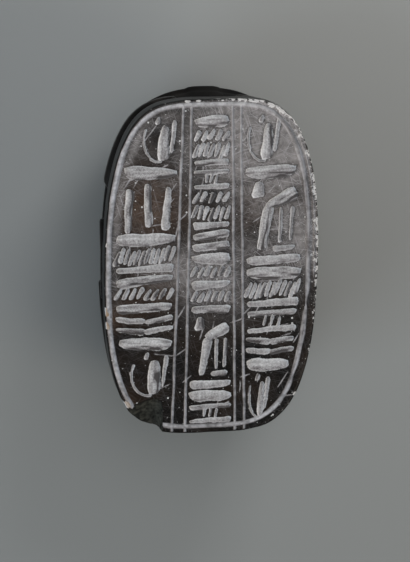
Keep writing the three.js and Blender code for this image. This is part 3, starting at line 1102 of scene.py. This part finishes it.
@dataclass
class Beetle:
    """The beetle under the plate: flank with legs, head, thorax and wing cases, in mm."""

    outline: Oval
    top: float = FACE_HEIGHT

    # Heights are above the inscribed face, and shares are of the back's rise.
    start: float = 4.0
    offset: Point = (-0.7, 0.3)
    flank_inset: float = 2.0
    shell_edge: float = 13.0
    shell_inset: float = 1.4
    shell_rise: float = 11.9
    shell_power: float = 0.8
    shell_lip: float = 0.3
    shell_under: float = 0.5
    flank_share: float = 0.46
    thorax_y: float = 8.0
    thorax_bow: float = 2.0
    thorax_share: float = 0.72
    neck_y: float = 21.0
    neck_run: float = 6.0
    front_share: float = 0.12
    head_share: float = 0.4
    head_half: float = 8.5
    head_taper: float = 0.3
    head_fall: Point = (0.7, 1.1)
    eye: Point = (5.2, 26.5)
    eye_share: float = 0.1
    eye_spread: float = 2.2

    # Lines cut in the back: the edge of the thorax, the seam and the two shoulders.
    line_depth: float = 0.5
    line_width: float = 0.9
    line_core: float = 0.25
    line_soft: float = 0.15
    shoulder_x: float = 11.5
    shoulder_slant: float = 0.9
    shoulder_run: float = 4.0
    line_far: float = 10.0

    # Grinding leaves the back a little uneven, and the ridges of the legs are paler, partly worn by handling
    # and partly a painted highlight.
    back_start: float = 0.05
    uneven: float = 0.12
    uneven_run: float = 5.0
    ridge_wear_and_highlight: float = 0.8
    ridge_grain: float = 2.0
    mm_per_radian: float = 30.0
    steps: tuple[int, int] = (300, 120)

    # The legs, and the head's broad brow with its low knob over a hollow.
    legs: tuple[Leg, ...] = (
        Leg(((50, 11.6), (36, 10.0), (12, 8.6)), bulge=1.4),
        Leg(((70, 11.8), (84, 8.2), (108, 7.5))),
        Leg(((104, 11.6), (126, 8.8), (160, 8.2))),
    )
    brow_bulge: float = 1.7
    brow_half: float = 7.6
    brow_height: float = 13.0
    brow_spread: float = 2.4
    knob_bulge: float = 0.4
    knob_half: float = 2.7
    hollow_depth: float = 1.6
    hollow_half: float = 4.0
    hollow_height: float = 7.4
    hollow_spread: float = 1.9

    def back_share(self, x: Array, y: Array) -> Array:
        """Give the height of the back as a share of its rise.

        Args:
            x: X of the points, in mm.
            y: Y of the points, in mm.

        Returns:
            The share, 1 over the wing cases.
        """
        thorax = 1 - (1 - self.thorax_share) * smooth(self.thorax_y, self.neck_y, y)
        step = smooth(self.neck_y, self.neck_y + self.neck_run, y)
        body = thorax + (self.front_share - thorax) * step
        head_half = self.head_half - self.head_taper * np.maximum(0, y - self.neck_y)
        head = self.head_share * step * (1 - smooth(*self.head_fall, np.abs(x) / head_half))
        from_eyes = [(x - side * self.eye[0]) ** 2 + (y - self.eye[1]) ** 2 for side in (-1, 1)]
        eyes = sum(self.eye_share * np.exp(-gap / self.eye_spread) for gap in from_eyes)
        return np.maximum(body, head + eyes * step)

    def back_lines(self, x: Array, y: Array) -> Array:
        """Give the depth of the lines cut in the back.

        Args:
            x: X of the points, in mm.
            y: Y of the points, in mm.

        Returns:
            The depth, in mm.
        """
        half = self.outline.half_width
        edge_y = self.thorax_y + self.thorax_bow * (x / half) ** 2
        thorax = np.abs(y - edge_y)
        seam = np.abs(x) + self.line_far * (y > edge_y)
        shoulder_x = self.shoulder_x + self.shoulder_slant * (y - edge_y + self.shoulder_run)
        past_shoulder = (y > edge_y) | (y < edge_y - self.shoulder_run)
        shoulder = np.abs(np.abs(x) - shoulder_x) + self.line_far * past_shoulder
        nearest = np.minimum(np.minimum(thorax, seam), shoulder) / (self.line_width / 2 + self.line_soft)
        return self.line_depth * (1 - smooth(self.line_core, 1, nearest))

    def build(self) -> bpy.types.Object:
        """Model the beetle from half a ball, shaped ring by ring.

        Returns:
            The beetle, closed on top inside the plate.
        """
        bpy.ops.object.select_all(action="DESELECT")
        bpy.ops.mesh.primitive_uv_sphere_add(
            segments=self.steps[0], ring_count=self.steps[1], radius=1, calc_uvs=False
        )
        beetle = bpy.context.object
        bpy.ops.object.mode_set(mode="EDIT")
        bpy.ops.mesh.select_all(action="SELECT")
        bpy.ops.mesh.bisect(plane_co=(0, 0, 0), plane_no=(0, 0, 1), use_fill=True, clear_outer=True)
        bpy.ops.object.mode_set(mode="OBJECT")
        ball = read_points(beetle.data)
        angle = np.arctan2(ball[:, 1], ball[:, 0])
        share = np.arcsin(np.clip(-ball[:, 2], 0, 1)) / (math.pi / 2)
        degrees = np.abs(np.degrees(np.arctan2(ball[:, 0], ball[:, 1])))
        flank = np.clip(share / self.flank_share, 0, 1)
        climb = np.clip((share - self.flank_share) / (1 - self.flank_share), 0, 1) * math.pi / 2
        height = self.start + (self.shell_edge + self.shell_lip - self.start) * flank
        legs = np.max([leg.relief(degrees, height) for leg in self.legs], axis=0)
        under = smooth(self.shell_edge - self.shell_under, self.shell_edge, height)
        inset = self.flank_inset + (self.shell_inset - self.flank_inset) * under - legs * (1 - under)
        off = degrees * self.legs[0].mm_per_degree
        brow = self.brow_bulge * np.exp(-((off / self.brow_half) ** 3))
        brow = brow + self.knob_bulge * np.exp(-((off / self.knob_half) ** 8))
        brow = brow * np.exp(-(((height - self.brow_height) / self.brow_spread) ** 2))
        hollow = -((off / self.hollow_half) ** 4) - ((height - self.hollow_height) / self.hollow_spread) ** 4
        inset = inset + self.hollow_depth * np.exp(hollow) - brow
        x, y = self.outline.point(angle, inset, np.cos(climb))
        on_back = climb > self.back_start
        rise = self.shell_rise * np.sin(climb) ** self.shell_power * self.back_share(x, y)
        rise = rise - self.back_lines(x, y) * on_back
        uneven = self.uneven * (grain(x, y, self.uneven_run, self.uneven_run, 8) - 0.5) * on_back
        z = np.maximum(self.top - height - rise + uneven, 0.0)
        write_points(beetle.data, np.column_stack((x + self.offset[0], y + self.offset[1], z)))
        # Painted highlight: the ridges of the legs are paled, partly standing for wear.
        ridge = np.clip(legs * (1 - under) / self.legs[0].bulge, 0, 1)
        worn = grain(angle * self.mm_per_radian, height, self.ridge_grain, self.ridge_grain, 9)
        write_marks(beetle.data, {Mark.WEAR_AND_SHEEN: self.ridge_wear_and_highlight * ridge * worn})
        return beetle


@dataclass
class BrokenCorner:
    """The corner lost at the tail: a rough block that is taken off the stone, in mm and degrees."""

    corner: Point = (-10.4, -26.6)
    top: float = FACE_HEIGHT
    size: tuple[float, float, float] = (16.0, 15.0, 19.0)
    slant: float = 17.0
    slope: float = 56.0
    side_slope: float = 5.0
    cuts: int = 44
    rise: float = 3.0
    least_down: float = -1.0

    # Lumps of the upper wall and shelves of the inner one: height, and size along and down.
    large_lumps: tuple[float, float, float] = (1.3, 3.6, 2.8)
    small_lumps: tuple[float, float, float] = (0.8, 1.3, 1.1)
    grit: tuple[float, float, float] = (0.25, 0.5, 0.5)
    large_shelves: tuple[float, float, float] = (0.3, 3.0, 3.6)
    small_shelves: tuple[float, float, float] = (0.25, 0.9, 0.9)
    lump_start: Point = (-0.3, 1.6)
    corner_round: float = 0.8

    def build(self) -> bpy.types.Object:
        """Model the block with two rough walls that meet at the corner.

        Returns:
            The block.
        """
        bpy.ops.object.select_all(action="DESELECT")
        bpy.ops.mesh.primitive_cube_add(size=1, calc_uvs=False)
        block = bpy.context.object
        bpy.ops.object.mode_set(mode="EDIT")
        bpy.ops.mesh.select_all(action="SELECT")
        bpy.ops.mesh.subdivide(number_cuts=self.cuts)
        bpy.ops.object.mode_set(mode="OBJECT")
        unit = read_points(block.data)
        left = (0.5 - unit[:, 0]) * self.size[0]
        back = (0.5 - unit[:, 1]) * self.size[1]
        down = (0.5 - unit[:, 2]) * self.size[2] - self.rise
        lumps = lumpy(left, down, self.large_lumps, 41) + lumpy(left, down, self.small_lumps, 42)
        lumps = lumps * smooth(*self.lump_start, down) + lumpy(left, down, self.grit, 43)
        shelves = lumpy(back, down, self.large_shelves, 44) + lumpy(back, down, self.small_shelves, 45)
        round_off = self.corner_round * np.exp(-(left + back) / self.corner_round)
        x = self.corner[0] - left - down * math.tan(math.radians(self.side_slope)) - shelves - round_off
        y = self.corner[1] - back - left * math.tan(math.radians(self.slant)) + lumps - round_off
        y = y - np.maximum(down, self.least_down) * math.tan(math.radians(self.slope))
        write_points(block.data, np.column_stack((x, y, self.top - down)))
        write_marks(block.data, {Mark.BROKEN: 1.0})
        return block


@dataclass(frozen=True)
class Ground:
    """What every layer of the finish reads: the node maker, the place, the marks and three sizes of grain."""

    add: Callable[..., bpy.types.Node]
    place: bpy.types.NodeSocket
    mark: dict[Mark, bpy.types.NodeSocket]
    fine: bpy.types.Node
    coarse: bpy.types.Node
    blotch: bpy.types.Node


@dataclass(frozen=True)
class BlackSteatite:
    """Black steatite, ground smooth and rubbed: waxy dark sides, a duller scratched face, chalky cuts."""

    name: str = "Rubbed black steatite"
    side_dark: str = "090808"
    side_light: str = "181614"
    ridge: str = "403b38"
    field_dark: str = "0e0c0b"
    field_light: str = "211913"
    warm: str = "593f2a"
    rubbed: str = "aca7a6"
    scratch: str = "b8b4b6"
    painted_slit_shade: str = "3a3635"
    cut_dark: str = "8d898a"
    cut_light: str = "f0eff0"
    line_colour: str = "dcdadd"
    chip_colour: str = "dad8d7"
    chip_warm: str = "b39a80"
    broken_dark: str = "1e1e1a"
    broken_light: str = "4c4b44"
    ior: float = 1.56
    specular: float = 0.15
    side_roughness: float = 0.26
    face_roughness: float = 0.36
    cut_roughness: float = 0.85
    bump_mm: float = 0.06
    specks: tuple[tuple[float, float, float], ...] = ((1.3, 0.19, 0.75), (0.6, 0.2, 0.5))
    grains_mm: tuple[float, float, float] = (0.32, 1.1, 6.0)
    scratches: tuple[tuple[float, float, float], ...] = (
        (18, 0.15, 7.0), (-35, 0.13, 5.0), (78, 0.16, 8.0), (52, 0.12, 4.0), (-70, 0.14, 6.0),
    )

    def scuffs(self, ground: Ground) -> bpy.types.Node:
        """Draw the fine scratches in a few directions that dull the polish of the face.

        Args:
            ground: What the layer reads.

        Returns:
            Node with the share of scratch.
        """
        add, scuffs = ground.add, None
        for turn, breadth, length in self.scratches:
            turned = add("ShaderNodeMapping", {
                "Vector": ground.place,
                "Rotation": (0, 0, math.radians(turn)),
                "Scale": (breadth * MM, length * MM, length * MM),
            }, vector_type="TEXTURE")
            noise = add("ShaderNodeTexNoise", {"Vector": turned, "Scale": 1.0, "Detail": 2.0})
            lines = add("ShaderNodeMapRange", {"Value": noise, "From Min": 0.61, "From Max": 0.71})
            if scuffs is None:
                scuffs = lines
            else:
                scuffs = add("ShaderNodeMath", {0: scuffs, 1: lines}, operation="MAXIMUM")
        return add("ShaderNodeMath", {0: scuffs, 1: ground.mark[Mark.FACE]}, operation="MULTIPLY")

    def face(self, ground: Ground, scuffs: bpy.types.Node) -> bpy.types.Node:
        """Colour the face: near black, brown where the light gets in, grey where it is rubbed and where sheen
        is painted, darker around the cuts as painted shade, with specks.

        Args:
            ground: What the layer reads.
            scuffs: Share of scratch.

        Returns:
            Node with the colour.
        """
        add, mark, coarse = ground.add, ground.mark, ground.coarse
        share = add("ShaderNodeMapRange", {"Value": ground.blotch, "From Min": 0.38, "From Max": 0.62})
        colour = add("ShaderNodeMix", {
            SHARE: share, FIRST: linear(self.field_dark), SECOND: linear(self.field_light)
        }, data_type="RGBA")
        share = add("ShaderNodeMath", {0: mark[Mark.WARM], 1: coarse}, operation="MULTIPLY")
        colour = add("ShaderNodeMix", {
            SHARE: share, FIRST: colour, SECOND: linear(self.warm)
        }, data_type="RGBA")

        # The rubbing and the painted sheen are patchy, and clear around the cuts, which leaves a painted
        # shade beside them.
        share = add("ShaderNodeMapRange", {
            "Value": coarse, "From Min": 0.32, "From Max": 0.68, "To Min": 0.35, "To Max": 0.75
        })
        share = add("ShaderNodeMath", {0: mark[Mark.WEAR_AND_SHEEN], 1: share}, operation="MULTIPLY")
        # Painted shade: the paling drops beside each cut, so a dark ring is painted around it.
        clear = add("ShaderNodeMapRange", {
            "Value": mark[Mark.CUT], "From Max": 0.5, "To Min": 1.0, "To Max": 0.3
        })
        share = add("ShaderNodeMath", {0: share, 1: clear}, operation="MULTIPLY")
        colour = add("ShaderNodeMix", {
            SHARE: share, FIRST: colour, SECOND: linear(self.rubbed)
        }, data_type="RGBA")
        share = add("ShaderNodeMapRange", {
            "Value": mark[Mark.WEAR_AND_SHEEN], "From Max": 0.7, "To Min": 0.1, "To Max": 0.85
        })
        share = add("ShaderNodeMath", {0: scuffs, 1: share}, operation="MULTIPLY")
        colour = add("ShaderNodeMix", {
            SHARE: share, FIRST: colour, SECOND: linear(self.scratch)
        }, data_type="RGBA")

        # White grains and pits show as specks, large and small.
        for cell, most, strength in self.specks:
            cells = add("ShaderNodeTexVoronoi", {"Vector": ground.place, "Scale": 1 / (cell * MM)})
            chance = add("ShaderNodeSeparateColor", {0: cells.outputs["Color"]})
            radius = add("ShaderNodeMapRange", {
                "Value": chance, "From Min": 0.55, "From Max": 1.0, "To Max": most
            })
            specks = add("ShaderNodeMath", {0: cells.outputs["Distance"], 1: radius}, operation="LESS_THAN")
            share = add("ShaderNodeMath", {0: specks, 1: strength}, operation="MULTIPLY")
            colour = add("ShaderNodeMix", {
                SHARE: share, FIRST: colour, SECOND: linear(self.cut_light)
            }, data_type="RGBA")
        return colour

    def sides(self, ground: Ground) -> bpy.types.Node:
        """Colour the sides and the back, a little paler on the ridges of the legs, partly from wear and
        partly as a painted highlight.

        Args:
            ground: What the layer reads.

        Returns:
            Node with the colour.
        """
        add = ground.add
        share = add("ShaderNodeMapRange", {"Value": ground.blotch, "From Min": 0.4, "From Max": 0.7})
        colour = add("ShaderNodeMix", {
            SHARE: share, FIRST: linear(self.side_dark), SECOND: linear(self.side_light)
        }, data_type="RGBA")
        share = add("ShaderNodeMath", {0: ground.mark[Mark.WEAR_AND_SHEEN], 1: ground.coarse}, operation="MULTIPLY")
        return add("ShaderNodeMix", {
            SHARE: share, FIRST: colour, SECOND: linear(self.ridge)
        }, data_type="RGBA")

    def ragged(self, ground: Ground, mark: Mark) -> bpy.types.Node:
        """Give a mark with ragged edges.

        Args:
            ground: What the layer reads.
            mark: The mark.

        Returns:
            Node with the mark's value, uneven by the fine grain.
        """
        uneven = ground.add("ShaderNodeMath", {0: ground.fine, 1: 0.2, 2: -0.1}, operation="MULTIPLY_ADD")
        return ground.add("ShaderNodeMath", {0: ground.mark[mark], 1: uneven}, operation="ADD")

    def lines(self, ground: Ground, colour: bpy.types.Node) -> tuple[bpy.types.Node, bpy.types.Node]:
        """Lay the chalky ruled lines over a colour, thin in places, and darker towards their walls as painted
        shade.

        Args:
            ground: What the layer reads.
            colour: Colour under the lines.

        Returns:
            Nodes with the new colour and the share of line.
        """
        add = ground.add
        edge = self.ragged(ground, Mark.LINE)
        line = add("ShaderNodeMapRange", {"Value": edge, "From Min": 0.46, "From Max": 0.56})
        share = add("ShaderNodeMapRange", {
            "Value": ground.coarse, "From Min": 0.34, "From Max": 0.6, "To Min": 0.5
        })
        line = add("ShaderNodeMath", {0: line, 1: share}, operation="MULTIPLY")
        share = add("ShaderNodeMapRange", {
            "Value": ground.mark[Mark.LINE], "From Min": 0.5, "From Max": 0.8
        })
        chalk = add("ShaderNodeMix", {
            SHARE: share, FIRST: linear(self.cut_dark), SECOND: linear(self.line_colour)
        }, data_type="RGBA")
        return add("ShaderNodeMix", {SHARE: line, FIRST: colour, SECOND: chalk}, data_type="RGBA"), line

    def strokes(self, ground: Ground, colour: bpy.types.Node) -> tuple[bpy.types.Node, bpy.types.Node]:
        """Lay the chalky strokes over a colour, with graver streaks, painted highlights on their rims and
        painted shade in dark slits.

        Args:
            ground: What the layer reads.
            colour: Colour under the strokes.

        Returns:
            Nodes with the new colour and the share of stroke.
        """
        add, mark, fine = ground.add, ground.mark, ground.fine
        edge = self.ragged(ground, Mark.CUT)
        cut = add("ShaderNodeMapRange", {"Value": edge, "From Min": 0.46, "From Max": 0.54})
        share = add("ShaderNodeMath", {0: mark[Mark.STREAK], 1: 0.7, 2: fine}, operation="MULTIPLY_ADD")
        share = add("ShaderNodeMath", {0: mark[Mark.WEAR_AND_SHEEN], 1: -0.1, 2: share}, operation="MULTIPLY_ADD")
        share = add("ShaderNodeMapRange", {"Value": share, "From Min": 0.6, "From Max": 1.35})
        chalk = add("ShaderNodeMix", {
            SHARE: share, FIRST: linear(self.cut_dark), SECOND: linear(self.cut_light)
        }, data_type="RGBA")
        # Painted highlight: the rim of each stroke is brightened.
        share = add("ShaderNodeMapRange", {
            "Value": edge, "From Min": 0.5, "From Max": 0.75, "To Min": 0.45, "To Max": 0.0
        })
        chalk = add("ShaderNodeMix", {
            SHARE: share, FIRST: chalk, SECOND: linear(self.cut_light)
        }, data_type="RGBA")
        # Painted shade: dark slits where the streaks run low, mostly towards the bowed edge.
        share = add("ShaderNodeMapRange", {
            "Value": mark[Mark.STREAK], "From Min": 0.18, "From Max": 0.06, "To Max": 0.8
        })
        chalk = add("ShaderNodeMix", {
            SHARE: share, FIRST: chalk, SECOND: linear(self.painted_slit_shade)
        }, data_type="RGBA")
        return add("ShaderNodeMix", {SHARE: cut, FIRST: colour, SECOND: chalk}, data_type="RGBA"), cut

    def chips(self, ground: Ground, colour: bpy.types.Node) -> tuple[bpy.types.Node, bpy.types.Node]:
        """Whiten the edges over a colour, with chips and flecks that are tan in the warm patches.

        Args:
            ground: What the layer reads.
            colour: Colour under the chips.

        Returns:
            Nodes with the new colour and the share of chip.
        """
        add, mark, coarse = ground.add, ground.mark, ground.coarse
        edge = add("ShaderNodeMath", {0: coarse, 1: 1.4, 2: mark[Mark.CHIP]}, operation="MULTIPLY_ADD")
        chip = add("ShaderNodeMapRange", {"Value": edge, "From Min": 1.2, "From Max": 1.32})
        edge = add("ShaderNodeMath", {0: mark[Mark.EDGE], 1: 0.34, 2: coarse}, operation="MULTIPLY_ADD")
        edge = add("ShaderNodeMath", {0: ground.fine, 1: 0.6, 2: edge}, operation="MULTIPLY_ADD")
        flecks = add("ShaderNodeMapRange", {"Value": edge, "From Min": 1.09, "From Max": 1.17})
        chip = add("ShaderNodeMath", {0: chip, 1: flecks}, operation="MAXIMUM")
        bruise = add("ShaderNodeMix", {
            SHARE: mark[Mark.WARM], FIRST: linear(self.chip_colour), SECOND: linear(self.chip_warm)
        }, data_type="RGBA")
        return add("ShaderNodeMix", {SHARE: chip, FIRST: colour, SECOND: bruise}, data_type="RGBA"), chip

    def broken(self, ground: Ground, colour: bpy.types.Node) -> bpy.types.Node:
        """Lay the dull and grainy break over a colour.

        Args:
            ground: What the layer reads.
            colour: Colour of the unbroken stone.

        Returns:
            Node with the new colour.
        """
        add = ground.add
        share = add("ShaderNodeMapRange", {"Value": ground.coarse, "From Min": 0.35, "From Max": 0.65})
        broken = add("ShaderNodeMix", {
            SHARE: share, FIRST: linear(self.broken_dark), SECOND: linear(self.broken_light)
        }, data_type="RGBA")
        return add("ShaderNodeMix", {
            SHARE: ground.mark[Mark.BROKEN], FIRST: colour, SECOND: broken
        }, data_type="RGBA")

    def material(self) -> bpy.types.Material:
        """Make the finish, from the dark stone up to the chalky cuts and chips.

        Returns:
            The material.
        """
        made = bpy.data.materials.new(self.name)
        made.use_nodes = True
        made.node_tree.nodes.clear()
        add = partial(add_node, made.node_tree)
        place = add("ShaderNodeTexCoord").outputs["Object"]
        mark = {m: add("ShaderNodeAttribute", attribute_name=m.value).outputs["Fac"] for m in Mark}
        fine, coarse, blotch = (
            add("ShaderNodeTexNoise", {"Vector": place, "Scale": 1 / (size * MM), "Detail": 4.0})
            for size in self.grains_mm
        )
        ground = Ground(add, place, mark, fine, coarse, blotch)
        scuffs = self.scuffs(ground)
        colour = add("ShaderNodeMix", {
            SHARE: mark[Mark.FACE], FIRST: self.sides(ground), SECOND: self.face(ground, scuffs)
        }, data_type="RGBA")
        colour, line = self.lines(ground, colour)
        colour, cut = self.strokes(ground, colour)
        colour, chip = self.chips(ground, colour)
        colour = self.broken(ground, colour)

        # Polish on the sides, a satin face, and no shine on cuts and breaks.
        pale = add("ShaderNodeMath", {0: cut, 1: line}, operation="MAXIMUM")
        pale = add("ShaderNodeMath", {0: pale, 1: chip}, operation="MAXIMUM")
        dull = add("ShaderNodeMath", {0: pale, 1: mark[Mark.BROKEN]}, operation="MAXIMUM")
        rough = add("ShaderNodeMapRange", {
            "Value": mark[Mark.FACE], "To Min": self.side_roughness, "To Max": self.face_roughness
        })
        rough = add("ShaderNodeMath", {0: fine, 1: 0.12, 2: rough}, operation="MULTIPLY_ADD")
        rough = add("ShaderNodeMix", {SHARE: dull, "A": rough, "B": self.cut_roughness})
        height = add("ShaderNodeMath", {0: pale, 1: 0.8, 2: 0.25}, operation="MULTIPLY_ADD")
        height = add("ShaderNodeMath", {0: fine, 1: height}, operation="MULTIPLY")
        height = add("ShaderNodeMath", {0: scuffs, 1: -0.3, 2: height}, operation="MULTIPLY_ADD")
        bump = add("ShaderNodeBump", {"Height": height, "Strength": 0.5, "Distance": self.bump_mm * MM})
        shader = add("ShaderNodeBsdfPrincipled", {
            "Base Color": colour, "Roughness": rough, "Normal": bump,
            "IOR": self.ior, "Specular IOR Level": self.specular,
        })
        add("ShaderNodeOutputMaterial", {"Surface": shader})
        return made


@dataclass
class Scarab:
    """The whole stone."""

    outline: Oval = Oval(HALF_WIDTH, HALF_LENGTH)
    finish: BlackSteatite = field(default_factory=BlackSteatite)
    smooth_degrees: float = 48.0

    def build(self) -> bpy.types.Object:
        """Carve the stone, break its corner off, and bring its middle over the origin.

        Returns:
            The stone as one closed piece.
        """
        stone = BasePlate(self.outline, Inscription(), Wear(self.outline)).build()
        combine(stone, Beetle(self.outline).build(), "UNION")
        combine(stone, BrokenCorner().build(), "DIFFERENCE")
        stone.name = "scarab_stone"
        stone.data.name = "scarab_stone"
        points = read_points(stone.data) / MM
        middle = (points.min(axis=0) + points.max(axis=0)) / 2
        write_points(stone.data, points - (middle[0], middle[1], 0.0))
        pick(stone)
        bpy.ops.object.shade_smooth_by_angle(angle=math.radians(self.smooth_degrees))
        return stone

    def dress(self, stone: bpy.types.Object) -> None:
        """Give the stone its finish and its place in the frame.

        Args:
            stone: The carved stone.
        """
        stone.data.materials.clear()
        stone.data.materials.append(self.finish.material())
        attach(stone, "root")
        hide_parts("scarab")


@dataclass
class Studio:
    """The plain floor, the soft lights and the camera, in mm and degrees."""

    face_height: float = FACE_HEIGHT
    aim: Point = (-0.08, 0.25)
    distance: float = 480.0
    tilt: float = 12.0
    swing: float = 8.5
    lens: float = 149.6
    shift: Point = (-0.01157, -0.02847)
    floor_size: float = 3000.0
    floor_colour: str = "9c9e9d"
    floor_roughness: float = 0.9
    near_clip: float = 10.0
    lights: tuple[tuple[str, tuple[float, float, float], float, float, str], ...] = (
        ("overhead_softbox", (30.0, 160.0, 420.0), 360.0, 0.42, "ffffff"),
        ("head_softbox", (80.0, 180.0, 120.0), 80.0, 0.19, "ffffff"),
        ("left_fill", (-420.0, -260.0, 260.0), 300.0, 1.25, "e6f4ff"),
        ("right_fill", (430.0, -300.0, 260.0), 300.0, 0.95, "fff6e6"),
    )
    ambient: float = 0.1

    def floor(self) -> None:
        """Lay the floor under the stone."""
        bpy.ops.object.select_all(action="DESELECT")
        bpy.ops.mesh.primitive_plane_add(size=self.floor_size * MM, location=(0, 0, 0))
        floor = bpy.context.object
        floor.name = "floor"

        # Matt grey paper has no shine, so the floor stays plain and takes soft shadows.
        paper = bpy.data.materials.new("Matt grey paper")
        paper.use_nodes = True
        shader = paper.node_tree.nodes["Principled BSDF"]
        shader.inputs["Base Color"].default_value = linear(self.floor_colour)
        shader.inputs["Roughness"].default_value = self.floor_roughness
        floor.data.materials.append(paper)

    def light(self) -> None:
        """Hang the softboxes and set the ambient light."""
        target = Vector((0, 0, self.face_height * MM))
        for name, place, size, power, colour in self.lights:
            lamp = bpy.data.lights.new(name, "AREA")
            lamp.color = linear(colour)[:3]
            lamp.shape = "SQUARE"
            lamp.size = size * MM
            lamp.energy = power
            holder = bpy.data.objects.new(name, lamp)
            holder.location = Vector(place) * MM
            holder.rotation_euler = (holder.location - target).to_track_quat("Z", "Y").to_euler()
            bpy.context.scene.collection.objects.link(holder)
        world = bpy.data.worlds.new("studio")
        world.use_nodes = True
        world.node_tree.nodes["Background"].inputs["Color"].default_value = (1, 1, 1, 1)
        world.node_tree.nodes["Background"].inputs["Strength"].default_value = self.ambient
        bpy.context.scene.world = world

    def camera(self) -> None:
        """Set the camera above the stone."""
        tilt, swing = math.radians(self.tilt), math.radians(self.swing)
        back = Vector((-math.sin(swing) * math.cos(tilt), math.sin(tilt), math.cos(swing) * math.cos(tilt)))
        right = Vector((0, 1, 0)).cross(back).normalized()
        above = back.cross(right)
        place = Vector((self.aim[0], self.aim[1], self.face_height)) * MM + back * self.distance * MM
        camera = bpy.data.objects.new("camera", bpy.data.cameras.new("camera"))
        camera.matrix_world = Matrix.Translation(place) @ Matrix((right, above, back)).transposed().to_4x4()
        camera.data.lens = self.lens
        camera.data.shift_x, camera.data.shift_y = self.shift
        camera.data.clip_start = self.near_clip * MM
        bpy.context.scene.collection.objects.link(camera)
        bpy.context.scene.camera = camera

    def build(self) -> None:
        """Set up the floor, the lights, the camera and the plain view."""
        self.floor()
        self.light()
        self.camera()
        bpy.context.scene.view_settings.view_transform = "Standard"


def main() -> None:
    """Build the stone and its studio."""
    logging.basicConfig(level=logging.INFO)
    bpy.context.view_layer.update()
    scarab = Scarab()
    stone = scarab.build()
    scarab.dress(stone)
    stone.data.calc_loop_triangles()
    LOG.info("%s: %d triangles", stone.name, len(stone.data.loop_triangles))
    Studio().build()
    LOG.info("studio: floor, lights and camera")


if __name__ == "__main__":
    main()
